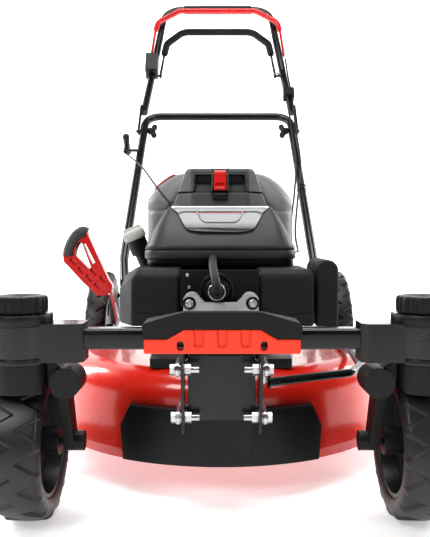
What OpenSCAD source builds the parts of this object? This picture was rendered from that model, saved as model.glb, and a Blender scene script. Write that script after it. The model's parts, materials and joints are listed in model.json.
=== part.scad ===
// Push lawn mower: steel deck, two front casters, petrol engine and folding handle.
// Millimetres. Origin on the ground under the blade axis, front towards -Y, +Z up.

/* [Deck] */
// Outer radius of the deck rim
deck_r = 285; // [280:1:288]
// Height of the rim above the ground
rim_z = 45; // [40:1:50]
// Height of the flat deck top
deck_top = 173; // [171:1:175]
// Thickness of the pressed sheet
sheet = 3; // [2:0.5:4]
// Length of the mowing blade
blade_len = 530; // [480:5:540]

/* [Wheels] */
// Radius of the front caster wheels
front_r = 100; // [95:1:102]
// Width of the front tyres
front_w = 60; // [52:1:64]
// Radius of the rear wheels
rear_r = 143; // [138:1:145]
// Width of the rear tyres
rear_w = 44; // [38:1:46]

/* [Front carriage] */
// Distance of each swivel axis from the middle
swivel_x = 248; // [244:1:252]
// Height of the crossbar section
bar_h = 26; // [24:1:30]
// Depth of the crossbar section
bar_d = 30; // [26:1:32]

/* [Handle] */
// Radius of the handle tube
tube_r = 11; // [10:0.5:12]
// Radius of the foam on the top bar
foam_r = 13.5; // [13:0.5:15]

/* [Engine] */
// Half-width of the cowl band
cowl_hw = 126; // [120:1:130]
// Half-width of the cowl's top edge
cowl_top_hw = 88; // [84:1:96]
// Half-width of the tank dome
dome_hw = 132; // [126:1:136]
// Height of the dome top
dome_top = 482; // [476:1:486]

/* [Hidden] */
$fn = 48;
fit = 0.05;          // running clearance of pins and shafts
eps = 1;             // overshoot of cuts

swivel_y = -395;
front_axle_y = -345;
rear_axle_y = 350;
bar_z = 243;

// Height linkage: pins as [y, z]
crank_pin = [300, rear_r];
link_len = 50;
upper_pin = [-316, 197.5];
lower_pin = [-296, 130.5];
upper_bolt = upper_pin - [link_len, 0];
lower_bolt = lower_pin - [link_len, 0];
rod_arm = 24;
rod_front = upper_pin - [0, rod_arm];
rod_rear = crank_pin + [0, rod_arm];
rod_r = 6;
pin_r = 4;
shaft_r = 8;
stub_r = 7;
spindle_r = 9;
front_axle_r = 6;

// Handle: joints as [y, z]
fold_pin = [360, 230];
joint_pin = [782, 669];
handle_top = [828, 718];
handle_dir = [422, 439] / norm([422, 439]);
bail_pin = [1029, 950];
drive_pin = [985, 872];
top_bar = [1119, 1119];
knee = [982, 881];
top_dir = (top_bar - knee) / norm(top_bar - knee);

// Engine
case_r = 75;
crank_r = 12.5;
cowl_z = [320, 347, 419];
cowl_front = [-125, -60];
cowl_slope = atan2(cowl_z[2] - cowl_z[1], cowl_front[1] - cowl_front[0]);
dome_y = [-11, 153];
hump_z = [420, 486];
lid_y = [-60, 40];
lid_z = 443;
lid_pin = [42, 480];
latch_hw = 11;
latch_pin = [-36, 473];
neck_tip = [-151, -22, 370];
neck_dir = [-16, -6, 40] / norm([-16, -6, 40]);
reel_r = 50;
belt_z = [146, 154];
belt_pulley_r = 25;
gear_pulley_r = 30;
gear_x = 160;
gear_axis = [148, 258];

black = [0.06, 0.06, 0.065];
charcoal = [0.16, 0.16, 0.17];
red = [0.75, 0.04, 0.03];
orange_red = [0.86, 0.16, 0.08];
bright = [0.75, 0.75, 0.77];
grey = [0.6, 0.6, 0.6];
rubber = [0.1, 0.1, 0.1];

// ---------- helpers ----------

module box(x, y, z)
    translate([x[0], y[0], z[0]])
        cube([x[1] - x[0], y[1] - y[0], z[1] - z[0]]);

module bar_x(r, x, p)
    translate([x[0], p[0], p[1]])
        rotate([0, 90, 0])
            cylinder(r = r, h = x[1] - x[0]);

module bar_y(r, y, p)
    translate([p[0], y[0], p[1]])
        rotate([-90, 0, 0])
            cylinder(r = r, h = y[1] - y[0]);

module post(r, z, p = [0, 0])
    translate([p[0], p[1], z[0]])
        cylinder(r = r, h = z[1] - z[0]);

// A profile in the YZ plane, extruded along X
module slab_x(x)
    translate([x[0], 0, 0])
        rotate([90, 0, 90])
            linear_extrude(x[1] - x[0])
                children();

// A profile in the XZ plane, extruded along Y
module slab_y(y)
    translate([0, y[1], 0])
        rotate([90, 0, 0])
            linear_extrude(y[1] - y[0])
                children();

module mirror_x() mirror([1, 0, 0]) children();

module both_sides() {
    children();
    mirror_x() children();
}

// A flat link with round ends between two points of its plane
module link_2d(a, b, r) {
    d = b - a;
    translate(a) circle(r = r);
    translate(b) circle(r = r);
    translate(a) rotate(atan2(d[1], d[0])) translate([0, -r]) square([norm(d), 2 * r]);
}

// A rectangle with round corners about its middle
module round_rect(w, h, r) {
    square([w - 2 * r, h], center = true);
    square([w, h - 2 * r], center = true);
    for (sx = [-1, 1])
        for (sy = [-1, 1])
            translate([sx * (w / 2 - r), sy * (h / 2 - r)]) circle(r = r);
}

function unit(v) = v / norm(v);

function turn_at(a, b, c) = acos(unit(b - a) * unit(c - b));

module stick(a, b, r) {
    d = b - a;
    translate(a)
        rotate([0, acos(d[2] / norm(d)), atan2(d[1], d[0])])
            cylinder(r = r, h = norm(d));
}

// Points of the round bend at b
function bend_at(a, b, c, bend, steps) =
    let (turn = turn_at(a, b, c), along = unit(b - a), normal = unit(cross(along, unit(c - b))))
    let (start = b - along * bend * tan(turn / 2), inward = cross(normal, along))
    [for (i = [0 : steps]) let (t = turn * i / steps) start + bend * (sin(t) * along + (1 - cos(t)) * inward)];

function bent_path(pts, bend, steps = 6) =
    [for (i = [0 : len(pts) - 1])
        each (i == 0 || i == len(pts) - 1) ? [pts[i]]
            : bend_at(pts[i - 1], pts[i], pts[i + 1], bend, steps)];

function ring_dir(pts, i) =
    unit(pts[min(i + 1, len(pts) - 1)] - pts[max(i - 1, 0)]);

// A swept round section along points, with flat ends. ref points out of the path's plane
module sweep(pts, r, sides, ref) {
    n = len(pts);
    rings = [
        for (i = [0 : n - 1])
            let (d = ring_dir(pts, i), u = unit(ref - (ref * d) * d), v = cross(d, u))
            for (k = [0 : sides - 1])
                pts[i] + r * (cos(360 * k / sides) * u + sin(360 * k / sides) * v)
    ];
    walls = [
        for (i = [0 : n - 2])
            for (k = [0 : sides - 1])
                let (a = i * sides + k, b = i * sides + (k + 1) % sides)
                [a, a + sides, b + sides, b]
    ];
    first = [for (k = [0 : sides - 1]) k];
    end = [for (k = [sides - 1 : -1 : 0]) (n - 1) * sides + k];
    polyhedron(points = rings, faces = concat(walls, [first], [end]), convexity = 6);
}

// A round tube through points, with bends of one radius
module pipe(pts, r, bend, ref) sweep(bent_path(pts, bend), r, 24, ref);

module cord(pts, r) sweep(pts, r, 8, [1, 0, 0]);

// Points along the handle: s from the lower fold pin, side offset x
function on_handle(s, x, lift = 0) = [
    x,
    fold_pin[0] + s * handle_dir[0] - lift * handle_dir[1],
    fold_pin[1] + s * handle_dir[1] + lift * handle_dir[0]
];

// ---------- deck ----------

shoulder = 40;

// Half-profile of the deck's outside, drawn in by t
module deck_profile(t) {
    top = deck_top - t;
    r_flat = deck_r - 53;
    r_side = deck_r - 13;
    polygon([
        [0, rim_z - (t > 0 ? eps : 0)], [deck_r - t, rim_z - (t > 0 ? eps : 0)],
        [deck_r - t, rim_z + 14 - t / 2],
        [deck_r - 7 - t, rim_z + 25 - t / 2], [r_side - t, top - shoulder + t],
        [r_flat, top - shoulder + t], [r_flat, top], [0, top]
    ]);
    translate([r_flat, top - shoulder + t])
        intersection() {
            circle(r = shoulder - t);
            square(shoulder);
        }
}

module deck_body(t)
    rotate_extrude($fn = 96)
        deck_profile(t);

tunnel_hw = 105;
tunnel_end = 352;

module tunnel_outer()
    slab_x([-tunnel_hw, tunnel_hw])
        polygon([[120, 140], [120, deck_top], [215, 285], [250, 303], [tunnel_end, 303],
            [tunnel_end, 172], [292, 160], [255, 80], [150, 80]]);

module tunnel_inner()
    slab_x([-tunnel_hw + sheet, tunnel_hw - sheet])
        polygon([[118, 70], [118, deck_top - 4], [217, 281], [251, 300], [tunnel_end + eps, 300],
            [tunnel_end + eps, 175], [290, 163], [250, 77], [118, 77]]);

module belt_window()
    rotate(atan2(crank_pin[0], gear_x))
        box([200, 300], [-48, 48], [belt_z[0] - 6, belt_z[1] + 6]);

module mower_deck() color(red) {
    difference() {
        union() {
            deck_body(0);
            tunnel_outer();
        }
        deck_body(sheet);
        tunnel_inner();
        belt_window();
        post(42, [deck_top - 10, deck_top + eps]);
    }
}

module front_bumper() color(black) {
    difference() {
        intersection() {
            union() {
                rotate_extrude($fn = 96)
                    polygon([[deck_r + 0.1, rim_z + 1], [deck_r + 7, rim_z + 1],
                        [deck_r + 7, rim_z + 66], [deck_r + 3, rim_z + 80],
                        [deck_r + 0.1, rim_z + 80]]);
                rotate_extrude($fn = 96)
                    polygon([[deck_r - 7 + 0.3, rim_z + 26], [deck_r + 0.5, rim_z + 26],
                        [deck_r + 0.5, rim_z + 80], [deck_r - 11, rim_z + 80]]);
            }
            slab_y([-deck_r - 30, -200])
                polygon([[-142, rim_z], [142, rim_z], [146, rim_z + 50], [132, rim_z + 80],
                    [50, rim_z + 80], [44, rim_z + 74], [-44, rim_z + 74], [-50, rim_z + 80],
                    [-132, rim_z + 80], [-146, rim_z + 50]]);
        }
        deck_body(-0.1);
    }
    difference() {
        slab_y([-deck_r - 11, -deck_r + 20])
            polygon([[-40, rim_z + 20], [40, rim_z + 20], [44, rim_z + 70], [-44, rim_z + 70]]);
        post(deck_r + 6.9, [0, 200]);
    }
}

bracket_x = [196, 202];

module deck_brackets() color(black) {
    difference() {
        union() {
            // Hanger box in front
            slab_y([-328, -325])
                polygon([[-45, 122], [45, 122], [45, 209], [-45, 209]]);
            both_sides()
                slab_x([42, 45])
                    polygon([[-328, 122], [-328, 209], [-236, 209], [-230, 188], [-190, 188],
                        [-180, deck_top + 0.2], [-200, 160], [-260, 122]]);
            box([-45, 45], [-325, -236], [206, 209]);
            both_sides() {
                bar_x(pin_r, [44, 62], upper_pin);
                bar_x(pin_r, [44, 62], lower_pin);
                bar_x(7, [44, 47], lower_pin);
                bar_x(7, [44, 47], upper_pin);
            }
            // Side brackets at the back
            both_sides() {
                slab_x(bracket_x)
                    polygon([[60, deck_top + 0.2], [60, 190], [200, 215], [330, 262], [385, 250],
                        [385, 215], [330, 118], [270, 118], [180, 130]]);
                bar_x(pin_r, [200, 232], fold_pin);
                bar_x(8, [230, 234], fold_pin);
                bar_x(7, [200, 203], fold_pin);
                box([160, 198], [60, 120], [deck_top + 0.2, deck_top + 4]);
            }
        }
        deck_body(-0.2);
        both_sides()
            bar_x(shaft_r + fit, [190, 210], crank_pin);
    }
}

// ---------- engine ----------

module crankcase() color(grey) {
    difference() {
        union() {
            translate([0, 0, deck_top + 0.2])
                linear_extrude(14)
                    polygon([[-105, -228], [-62, -228], [-50, -170], [50, -170], [62, -228],
                        [105, -228], [118, 90], [60, 112], [-60, 112], [-118, 90]]);
            post(case_r, [deck_top + 10, 250]);
            post(55, [250, 306]);
            box([-42, 42], [-214, -50], [196, 286]);
            for (i = [0 : 8])
                box([-50, 50], [-208 + i * 15, -204 + i * 15], [192, 292]);
            box([-52, 52], [-222, -212], [194, 262]);
        }
        post(crank_r + 0.5, [150, 320]);
        bar_y(9.2, [-230, -180], [-6, 287]);
    }
}

cover_y = [-240, -222.2];

module cylinder_cover() color(bright) {
    difference() {
        slab_y(cover_y) {
            polygon([[-55, 258], [55, 258], [55, 278], [30, 278], [23, 271], [-23, 271],
                [-30, 278], [-55, 278]]);
            both_sides()
                translate([42.5, 274]) circle(r = 12.5);
        }
        both_sides()
            bar_y(3.2, [-250, -210], [46, 270.7]);
    }
    both_sides() {
        bar_y(3, [-243, -224], [46, 270.7]);
        translate([46, -241, 270.7])
            rotate([90, 0, 0])
                cylinder(r = 6, h = 5, $fn = 6);
    }
}

module spark_plug() color(bright) {
    bar_y(9, [-219, -185], [-6, 287]);
    translate([-6, -219, 287])
        rotate([90, 0, 0])
            cylinder(r = 11, h = 9, $fn = 6);
    bar_y(5, [-246, -228], [-6, 287]);
}

module plug_boot() color(rubber) {
    difference() {
        union() {
            bar_y(8.5, [-252, -230], [-6, 287]);
            pipe([[-6, -244, 287], [-8, -248, 302], [-12, -200, 336], [-12, -127, 336]], 6, 12, [1, 0, 0]);
        }
        bar_y(5 + fit, [-248, -229], [-6, 287]);
    }
}

// Lower band with the sloped front above it, drawn in by t
module cowl_form(t, drop = 0)
    hull() {
        translate([0, 8, cowl_z[0] - drop])
            linear_extrude(cowl_z[1] - cowl_z[0] - t + drop)
                round_rect(2 * (cowl_hw - t), 266 - 2 * t, 40 - t);
        translate([0, cowl_front[1] + 40, cowl_z[2] - t - 4])
            linear_extrude(4)
                round_rect(2 * (cowl_top_hw - t), 80 - 2 * t, 7 - t);
    }

// The eye where the starter rope comes out
module rope_eye(r, past = 0) post(r, [413 - past, 422 + past], [-86, -48]);

module engine_cowl() color(charcoal)
    difference() {
        union() {
            cowl_form(0);
            rope_eye(4.4);
        }
        cowl_form(4, eps);
        box([-150, 150], [dome_y[0] - 0.5, 160], [cowl_z[1], 440]);
        post(30, [400, 440]);
        rope_eye(2.6, eps);
    }

module cowl_badge() color(bright)
    translate([0, cowl_front[1], cowl_z[2]])
        rotate([cowl_slope, 0, 0])
            translate([0, 0, 0.3])
                rotate([0, 0, 180])
                    linear_extrude(2)
                        polygon([[-82, 4], [82, 4], [66, 22], [47, 64], [-47, 64], [-66, 22]]);

module dome_layer(z, h, hw, y, r)
    translate([0, (y[0] + y[1]) / 2, z])
        linear_extrude(h)
            round_rect(2 * hw, y[1] - y[0], r);

module dome_form(t)
    hull() {
        dome_layer(cowl_z[1] + (t > 0 ? -eps : 0.5), 86 - t, dome_hw - t, [dome_y[0] + t, dome_y[1] - t], 45 - t);
        dome_layer(456 - t, 4, 114 - t, [4 + t, 140 - t], 40 - t);
        dome_layer(dome_top - 4 - t, 4, 82 - t, [20 + t, 118 - t], 30 - t);
    }

module hump_form(t, z)
    hull() {
        dome_layer(z[0], 1, 82 - t, [lid_y[0] + t, lid_y[1] - t], 20);
        dome_layer(z[1] - 1, 1, 58 - t, [lid_y[0] + 28 + t, lid_y[1] - 6 - t], 18);
    }

module engine_dome() color(grey) {
    difference() {
        union() {
            dome_form(0);
            intersection() {
                hump_form(0, hump_z);
                box([-100, 100], [-100, 60], [hump_z[0], lid_z]);
            }
        }
        dome_form(4);
        hump_form(4, [hump_z[0] - eps, hump_z[1] + eps]);
        box([-92, 92], [-30, 30], [cowl_z[1] - eps, cowl_z[2] + 0.5]);
        // Pocket for the hinge
        box([-46, 46], [lid_y[1] - 11, lid_y[1] + 8], [dome_top - 12, 500]);
    }
    // Hinge ears and pins of the lid
    both_sides() {
        for (x = [16, 40.5])
            box([x, x + 3.5], [lid_pin[0] - 4, lid_y[1] + 12], [dome_top - 8, dome_top + 2]);
        bar_x(2, [17, 43], lid_pin);
    }
}

// Notch in the lid's front for the latch, grown by t
module latch_notch(t) {
    hull() {
        box([-44 - t, 44 + t], [-90, -36 + t], [lid_z - 5, 462]);
        box([-40 - t, 40 + t], [-90, -20 + t], [472, 475 + t]);
    }
    box([-latch_hw - 0.6 - t, latch_hw + 0.6 + t], [-90, -20 + t], [lid_z - 5, 490]);
}

module hatch_lid() color(charcoal)
    difference() {
        union() {
            difference() {
                intersection() {
                    hump_form(-1, hump_z);
                    // Above the parting line and the dome's front and roof
                    slab_x([-100, 100])
                        polygon([[-100, lid_z + eps], [-6.2, lid_z + eps], [2.8, 460],
                            [19.4, dome_top + eps], [60, dome_top + eps], [60, 500], [-100, 500]]);
                }
                difference() {
                    hump_form(4, [hump_z[0], hump_z[1] - 5]);
                    latch_notch(3);
                }
                latch_notch(0);
            }
            // Frames on both sides of the latch
            both_sides()
                slab_x([11.8, 15])
                    polygon([[-54, 446], [-34, 446], [-34, 460], [-18, 474], [-20, 486], [-33, 486],
                        [-42, 472]]);
            // Hinge knuckles
            both_sides() {
                bar_x(4.5, [20, 40], lid_pin);
                box([20, 40], [30, lid_pin[0]], [477, 485]);
            }
        }
        both_sides()
            bar_x(2 + fit, [19, 41], lid_pin);
        bar_x(2 + fit, [-16, 16], latch_pin);
    }

module hatch_latch() color(red) {
    slab_x([-latch_hw, latch_hw])
        polygon([[-54, 452], [-50, 445], [-45, 453], [-30, 473], [-30, 481], [-38, 482]]);
    bar_x(2, [-15, 15], latch_pin);
}

module air_box() color(charcoal)
    difference() {
        hull() {
            box([-154, -62], [-205, -60], [232, 300]);
            box([-128, -62], [-195, -60], [300, 318.5]);
        }
        box([-150, -66], [-201, -56], [236, 296]);
    }

module muffler() color(grey)
    box([66, 126], [-190, -100], [244, 300]);

// An upright section with a round top
module arch_2d(x, z) {
    r = (x[1] - x[0]) / 2;
    translate([x[0], z[0]]) square([2 * r, z[1] - z[0] - r]);
    translate([x[0] + r, z[1] - r]) circle(r = r);
}

module muffler_guard() color(charcoal) {
    difference() {
        hull() {
            box([58, 140], [-205, -60], [232, 290]);
            box([58, 132], [-196, -60], [290, 318.5]);
        }
        box([62, 136], [-201, -56], [236, 304]);
    }
    difference() {
        slab_y([-190, -70])
            arch_2d([146, 180], [230, 332]);
        slab_y([-186, -74])
            arch_2d([150, 176], [234, 328]);
    }
    box([139, 147], [-150, -110], [250, 290]);
}

module fuel_tank() color(grey) {
    difference() {
        box([-90, 90], [62, 132], [396, 448]);
        box([-87, 87], [65, 129], [399, 445]);
    }
    post(18, [447, 458], [0, 96]);
}

module oil_neck() color(black)
    difference() {
        union() {
            stick([-105, -6, 200], neck_tip - 120 * neck_dir, 12);
            stick(neck_tip - 121 * neck_dir, neck_tip - 8 * neck_dir, 12);
            stick(neck_tip - 34 * neck_dir, neck_tip - 8 * neck_dir, 17);
        }
        stick(neck_tip - 60 * neck_dir, neck_tip + 5 * neck_dir, 8);
        post(case_r + 0.2, [150, 251]);
        cowl_form(-1);
    }

module oil_cap() color(grey) {
    stick(neck_tip - 7.5 * neck_dir, neck_tip + 12 * neck_dir, 19.5);
    stick(neck_tip - 55 * neck_dir, neck_tip - 7 * neck_dir, 5);
}

module starter_reel() color(black)
    difference() {
        union() {
            post(reel_r + 6, [388, 391]);
            post(reel_r - 14, [390, 402]);
            post(reel_r + 6, [401, 404]);
        }
        post(8 + fit, [380, 410]);
    }

module crankshaft() color(bright) {
    post(crank_r, [100, 380]);
    post(8, [380, 410]);
}

module flywheel() color(grey)
    difference() {
        union() {
            post(84, [345, 356]);
            for (i = [0 : 11])
                rotate(30 * i)
                    box([48, 82], [-2, 2], [355, 374]);
            post(24, [350, 376]);
        }
        post(crank_r + fit, [340, 390]);
    }

module blade_adapter() color(black)
    difference() {
        union() {
            post(28, [96, 112]);
            post(18, [110, 160]);
            post(belt_pulley_r - 6, [belt_z[0] - 1, belt_z[1] + 1]);
            post(belt_pulley_r + 6, [belt_z[0] - 4, belt_z[0] - 1]);
            post(belt_pulley_r + 6, [belt_z[1] + 1, belt_z[1] + 4]);
        }
        post(crank_r + fit, [99.5, 170]);
        post(5 + fit, [90, 120]);
    }

module mowing_blade() color(bright) {
    difference() {
        union() {
            box([-blade_len / 2, blade_len / 2], [-25, 25], [91, 95.5]);
            for (a = [0, 180])
                rotate(a)
                    translate([blade_len / 2 - 100, 0, 91])
                        slab_x([0, 100])
                            polygon([[25, 0], [47, 16], [45, 20], [24, 4.5]]);
        }
        post(5 + fit, [80, 120]);
    }
    post(5, [90, 99]);
    translate([0, 0, 84]) cylinder(r = 11, h = 6.8, $fn = 6);
}

module gearbox() color(grey)
    difference() {
        union() {
            box([gear_x - 24, gear_x + 24], [242, 320], [118, 140]);
            bar_x(24, [gear_x - 24, gear_x + 24], crank_pin);
        }
        bar_x(shaft_r + fit, [100, 210], crank_pin);
        post(gear_pulley_r + 1, [143, 170], gear_axis);
        post(6 + fit, [130, 170], gear_axis);
    }

module gearbox_pulley() color(bright) {
    post(gear_pulley_r - 8, [belt_z[0], belt_z[1]], gear_axis);
    post(gear_pulley_r, [belt_z[0] - 1.5, belt_z[0]], gear_axis);
    post(gear_pulley_r, [belt_z[1], belt_z[1] + 1.5], gear_axis);
    post(6, [132, 147], gear_axis);
}

module drive_belt() color(rubber)
    translate([0, 0, belt_z[0] + 0.5])
        linear_extrude(7)
            difference() {
                hull() {
                    circle(r = belt_pulley_r + 0.5);
                    translate(gear_axis) circle(r = gear_pulley_r - 1);
                }
                hull() {
                    circle(r = belt_pulley_r - 5.7);
                    translate(gear_axis) circle(r = gear_pulley_r - 7.7);
                }
            }

// ---------- front carriage ----------

plate_x = [48, 52];

module front_axle_tube() color(black) {
    difference() {
        union() {
            slab_x([-swivel_x, swivel_x])
                translate([swivel_y, bar_z]) round_rect(bar_d, bar_h, 7);
            both_sides() {
                translate([0, 0, 216])
                    linear_extrude(47)
                        polygon([[168, swivel_y - 17], [176, swivel_y - 25], [226, swivel_y - 25],
                            [226, swivel_y + 25], [176, swivel_y + 25], [168, swivel_y + 17]]);
                post(36.5, [214, 274], [swivel_x, swivel_y]);
                slab_x(plate_x)
                    polygon([[-395, 225], [-360, 118], [-357, 112], [-336, 112], [-332, 118],
                        [-332, 200], [-352, 250], [-382, 252], [-382, 225]]);
            }
        }
        both_sides() {
            post(spindle_r + fit, [200, 280], [swivel_x, swivel_y]);
            bar_x(pin_r + fit, [40, 60], upper_bolt);
            bar_x(pin_r + fit, [40, 60], lower_bolt);
        }
    }
}

cover_front = -427;
cover_wall = -412;

module trim_outline()
    polygon([[-95, 246], [-66, 246], [-46, 257.5], [46, 257.5], [66, 246], [95, 246],
        [96, 262], [93, 265], [50, 277], [44, 278], [-44, 278], [-50, 277], [-93, 265], [-96, 262]]);

module crossbar_trim() color(black) {
    slab_y([cover_front + 2, cover_wall])
        trim_outline();
    intersection() {
        slab_y([cover_wall - eps, -374])
            trim_outline();
        slab_x([-100, 100])
            polygon([[-430, 257], [-430, 280], [cover_wall, 280], [-374, 265], [-374, 257]]);
    }
}

module crossbar_cover() color(orange_red)
    difference() {
        slab_y([cover_front, cover_wall])
            polygon([[-94, 228], [94, 228], [94, 245.5], [66, 245.5], [46, 257], [-46, 257],
                [-66, 245.5], [-94, 245.5]]);
        for (x = [-28, 0, 28])
            slab_y([cover_front - eps, cover_front + 3])
                polygon([[x - 6, 235], [x + 6, 235], [x + 7, 260], [x - 7, 260]]);
        both_sides()
            bar_y(4.5, [-430, -405], [50, 238]);
    }

module hex_bolt(p)
    both_sides() {
        bar_x(pin_r, [29, 61], p);
        bar_x(7.5, [59.3, 60.8], p);
        translate([60.8, p[0], p[1]])
            rotate([0, 90, 0])
                cylinder(r = 7.5, h = 5.5, $fn = 6);
        translate([39.5, p[0], p[1]])
            rotate([0, 90, 0])
                cylinder(r = 7.5, h = 8.2, $fn = 6);
        bar_x(7, [52.2, 54.2], p);
    }

module link_bolts() color(bright) {
    hex_bolt(upper_bolt);
    hex_bolt(lower_bolt);
}

link_x = [54.5, 59];

module upper_links() color(bright)
    difference() {
        union() {
            both_sides()
                slab_x(link_x)
                    link_2d(upper_bolt, upper_pin, 9);
            slab_x(link_x)
                link_2d(upper_pin, rod_front, 6);
            bar_x(3, [58, 70], rod_front);
        }
        both_sides() {
            bar_x(pin_r + fit, [50, 62], upper_bolt);
            bar_x(pin_r + fit, [50, 62], upper_pin);
        }
    }

module lower_links() color(bright)
    difference() {
        both_sides()
            slab_x(link_x)
                link_2d(lower_bolt, lower_pin, 9);
        both_sides() {
            bar_x(pin_r + 0.6, [50, 62], lower_bolt);
            bar_x(pin_r + fit, [50, 62], lower_pin);
        }
    }

// ---------- casters ----------

arm_x = [43, 56];
boss_x = 68;

module caster_fork()
    translate([swivel_x, 0, 0]) {
        difference() {
            union() {
                post(34, [178, 213.5], [0, swivel_y]);
                slab_y([-402, -366])
                    polygon([[-61, 178], [61, 178], [61, 200], [40, 213], [-40, 213], [-61, 200]]);
                both_sides() {
                    bar_y(19, [-412, -366], [56, 189]);
                    slab_x(arm_x)
                        polygon([[-410, 200], [-370, 200], [-331, 106], [-336, 90], [-354, 90],
                            [-362, 104]]);
                    bar_x(13, [arm_x[0], boss_x], [front_axle_y, front_r]);
                }
            }
            bar_x(front_r + 7, [-40, 40], [front_axle_y, front_r]);
        }
        bar_x(front_axle_r, [-arm_x[0] - 1, arm_x[0] + 1], [front_axle_y, front_r]);
        post(spindle_r, [198, 270], [0, swivel_y]);
    }

module caster_fork_right() color(black) caster_fork();

module caster_fork_left() color(black) mirror_x() caster_fork();

// A wheel's profile turned about an axle along X
module turned_x(x, p)
    translate([x, p[0], p[1]])
        rotate([0, 90, 0])
            rotate_extrude($fn = 96)
                children();

front_rim_r = 72;
rear_rim_r = 103;

module tyre_profile(r, w, rim) {
    h = w / 2;
    polygon([[rim, -h + 5], [rim + 4, -h + 2], [r - 12, -h], [r - 3, -h + 5], [r, -h + 12],
        [r, h - 12], [r - 3, h - 5], [r - 12, h], [rim + 4, h - 2], [rim, h - 5]]);
}

module rim_profile(bore, hub_r, hub_w, rim, w) {
    h = w / 2;
    polygon([[bore, -hub_w], [hub_r, -hub_w], [hub_r, -5], [rim - 8, -5], [rim - 5, -h + 5],
        [rim - 0.05, -h + 5], [rim - 0.05, h - 5], [rim - 5, h - 5], [rim - 8, 5], [hub_r, 5],
        [hub_r, hub_w], [bore, hub_w]]);
}

module front_rim()
    difference() {
        turned_x(swivel_x, [front_axle_y, front_r])
            rim_profile(front_axle_r + fit, 18, 36, front_rim_r, front_w);
        for (i = [0 : 4])
            bar_x(13, [swivel_x - 20, swivel_x + 20],
                [front_axle_y + 42 * cos(72 * i), front_r + 42 * sin(72 * i)]);
    }

module front_tyre()
    turned_x(swivel_x, [front_axle_y, front_r])
        tyre_profile(front_r, front_w, front_rim_r);

module front_rim_right() color(charcoal) front_rim();

module front_rim_left() color(charcoal) mirror_x() front_rim();

module front_tyre_right() color(rubber) front_tyre();

module front_tyre_left() color(rubber) mirror_x() front_tyre();

module lock_knob()
    translate([swivel_x, swivel_y, 0])
        difference() {
            union() {
                post(31, [274.4, 296]);
                for (i = [0 : 21])
                    rotate(360 * i / 22)
                        translate([31, 0, 275.5])
                            cylinder(r = 1.8, h = 19);
            }
            post(spindle_r + 4, [270, 280]);
        }

module lock_knob_right() color(black) lock_knob();

module lock_knob_left() color(black) mirror_x() lock_knob();

// ---------- height adjuster and rear wheels ----------

rear_x = 264;

module rear_axle() color(bright) {
    bar_x(shaft_r, [-223, 223], crank_pin);
    both_sides() {
        slab_x([222, 230])
            link_2d(crank_pin, [rear_axle_y, rear_r], 14);
        bar_x(stub_r, [229, 289], [rear_axle_y, rear_r]);
        bar_x(11, [230, 240], [rear_axle_y, rear_r]);
    }
    slab_x([216.5, 222])
        link_2d(crank_pin, rod_rear, 9);
    bar_x(3, [205, 217], rod_rear);
}

module rear_rim()
    difference() {
        turned_x(rear_x, [rear_axle_y, rear_r])
            rim_profile(stub_r + fit, 22, 22, rear_rim_r, rear_w);
        for (i = [0 : 5])
            bar_x(17, [rear_x - 20, rear_x + 20],
                [rear_axle_y + 62 * cos(60 * i), rear_r + 62 * sin(60 * i)]);
    }

module rear_tyre()
    turned_x(rear_x, [rear_axle_y, rear_r])
        tyre_profile(rear_r, rear_w, rear_rim_r);

module rear_rim_right() color(charcoal) rear_rim();

module rear_rim_left() color(charcoal) mirror_x() rear_rim();

module rear_tyre_right() color(rubber) rear_tyre();

module rear_tyre_left() color(rubber) mirror_x() rear_tyre();

lever_y = [140, 160];
lever_arm_x = [-221, -215];
lever_foot = [150, 262];

module lever_loop()
    difference() {
        polygon([[-214, 262], [-224, 250], [-243, 248], [-300, 306], [-311, 318], [-312, 330],
            [-303, 354], [-290, 376], [-276, 384], [-264, 375], [-222, 282], [-214, 270]]);
        polygon([[-286, 326], [-250, 300], [-276, 352], [-283, 346]]);
    }

module height_lever() color(red) {
    difference() {
        slab_y(lever_y) lever_loop();
        lever_sleeve(0.1);
    }
    difference() {
        union() {
            slab_x(lever_arm_x)
                link_2d(crank_pin, lever_foot, 9);
            bar_x(15, [-221, -206], crank_pin);
        }
        bar_x(shaft_r + fit, [-230, -200], crank_pin);
    }
}

// The grip covers the loop's outer top
module lever_sleeve(t)
    slab_y([lever_y[0] - 3 - t, lever_y[1] + 3 + t])
        polygon([[-315 - t, 330 - t], [-285 + t, 326 - t], [-283, 346], [-276, 356],
            [-266 + t, 370], [-266 + t, 380 + t], [-276, 388 + t], [-292, 380 + t],
            [-306 - t, 356]]);

module lever_grip() color(grey) lever_sleeve(0);

rod_x = 209;

module height_rod() color(black) {
    difference() {
        union() {
            pipe([[62, -330, 173.5], [186, -262, 173.5], [rod_x, -215, 175],
                [rod_x, -150, 184], [rod_x, 225, 184], [rod_x, 293, 168]], rod_r, 20, [0, 0, 1]);
            bar_x(11, [62, 66], rod_front);
            bar_x(11, [207, 211], rod_rear);
        }
        bar_x(5.2, [50, 72], rod_front);
        bar_x(5.2, [200, 214], rod_rear);
        bar_x(8, [66, 72], rod_front);
        bar_x(14, [40, 61.9], rod_front);
        bar_x(12, [211, 225], rod_rear);
        bar_x(12, [190, 207], rod_rear);
    }
}

flap_pin = [360, 308];

module rear_flap() color(black) {
    slab_x([-tunnel_hw, tunnel_hw])
        polygon([[355, 308], [355, 180], [359, 180], [359, 304]]);
    bar_x(5, [-tunnel_hw, tunnel_hw], flap_pin);
}

// ---------- handle ----------

joint_s = norm(joint_pin - fold_pin);

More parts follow.
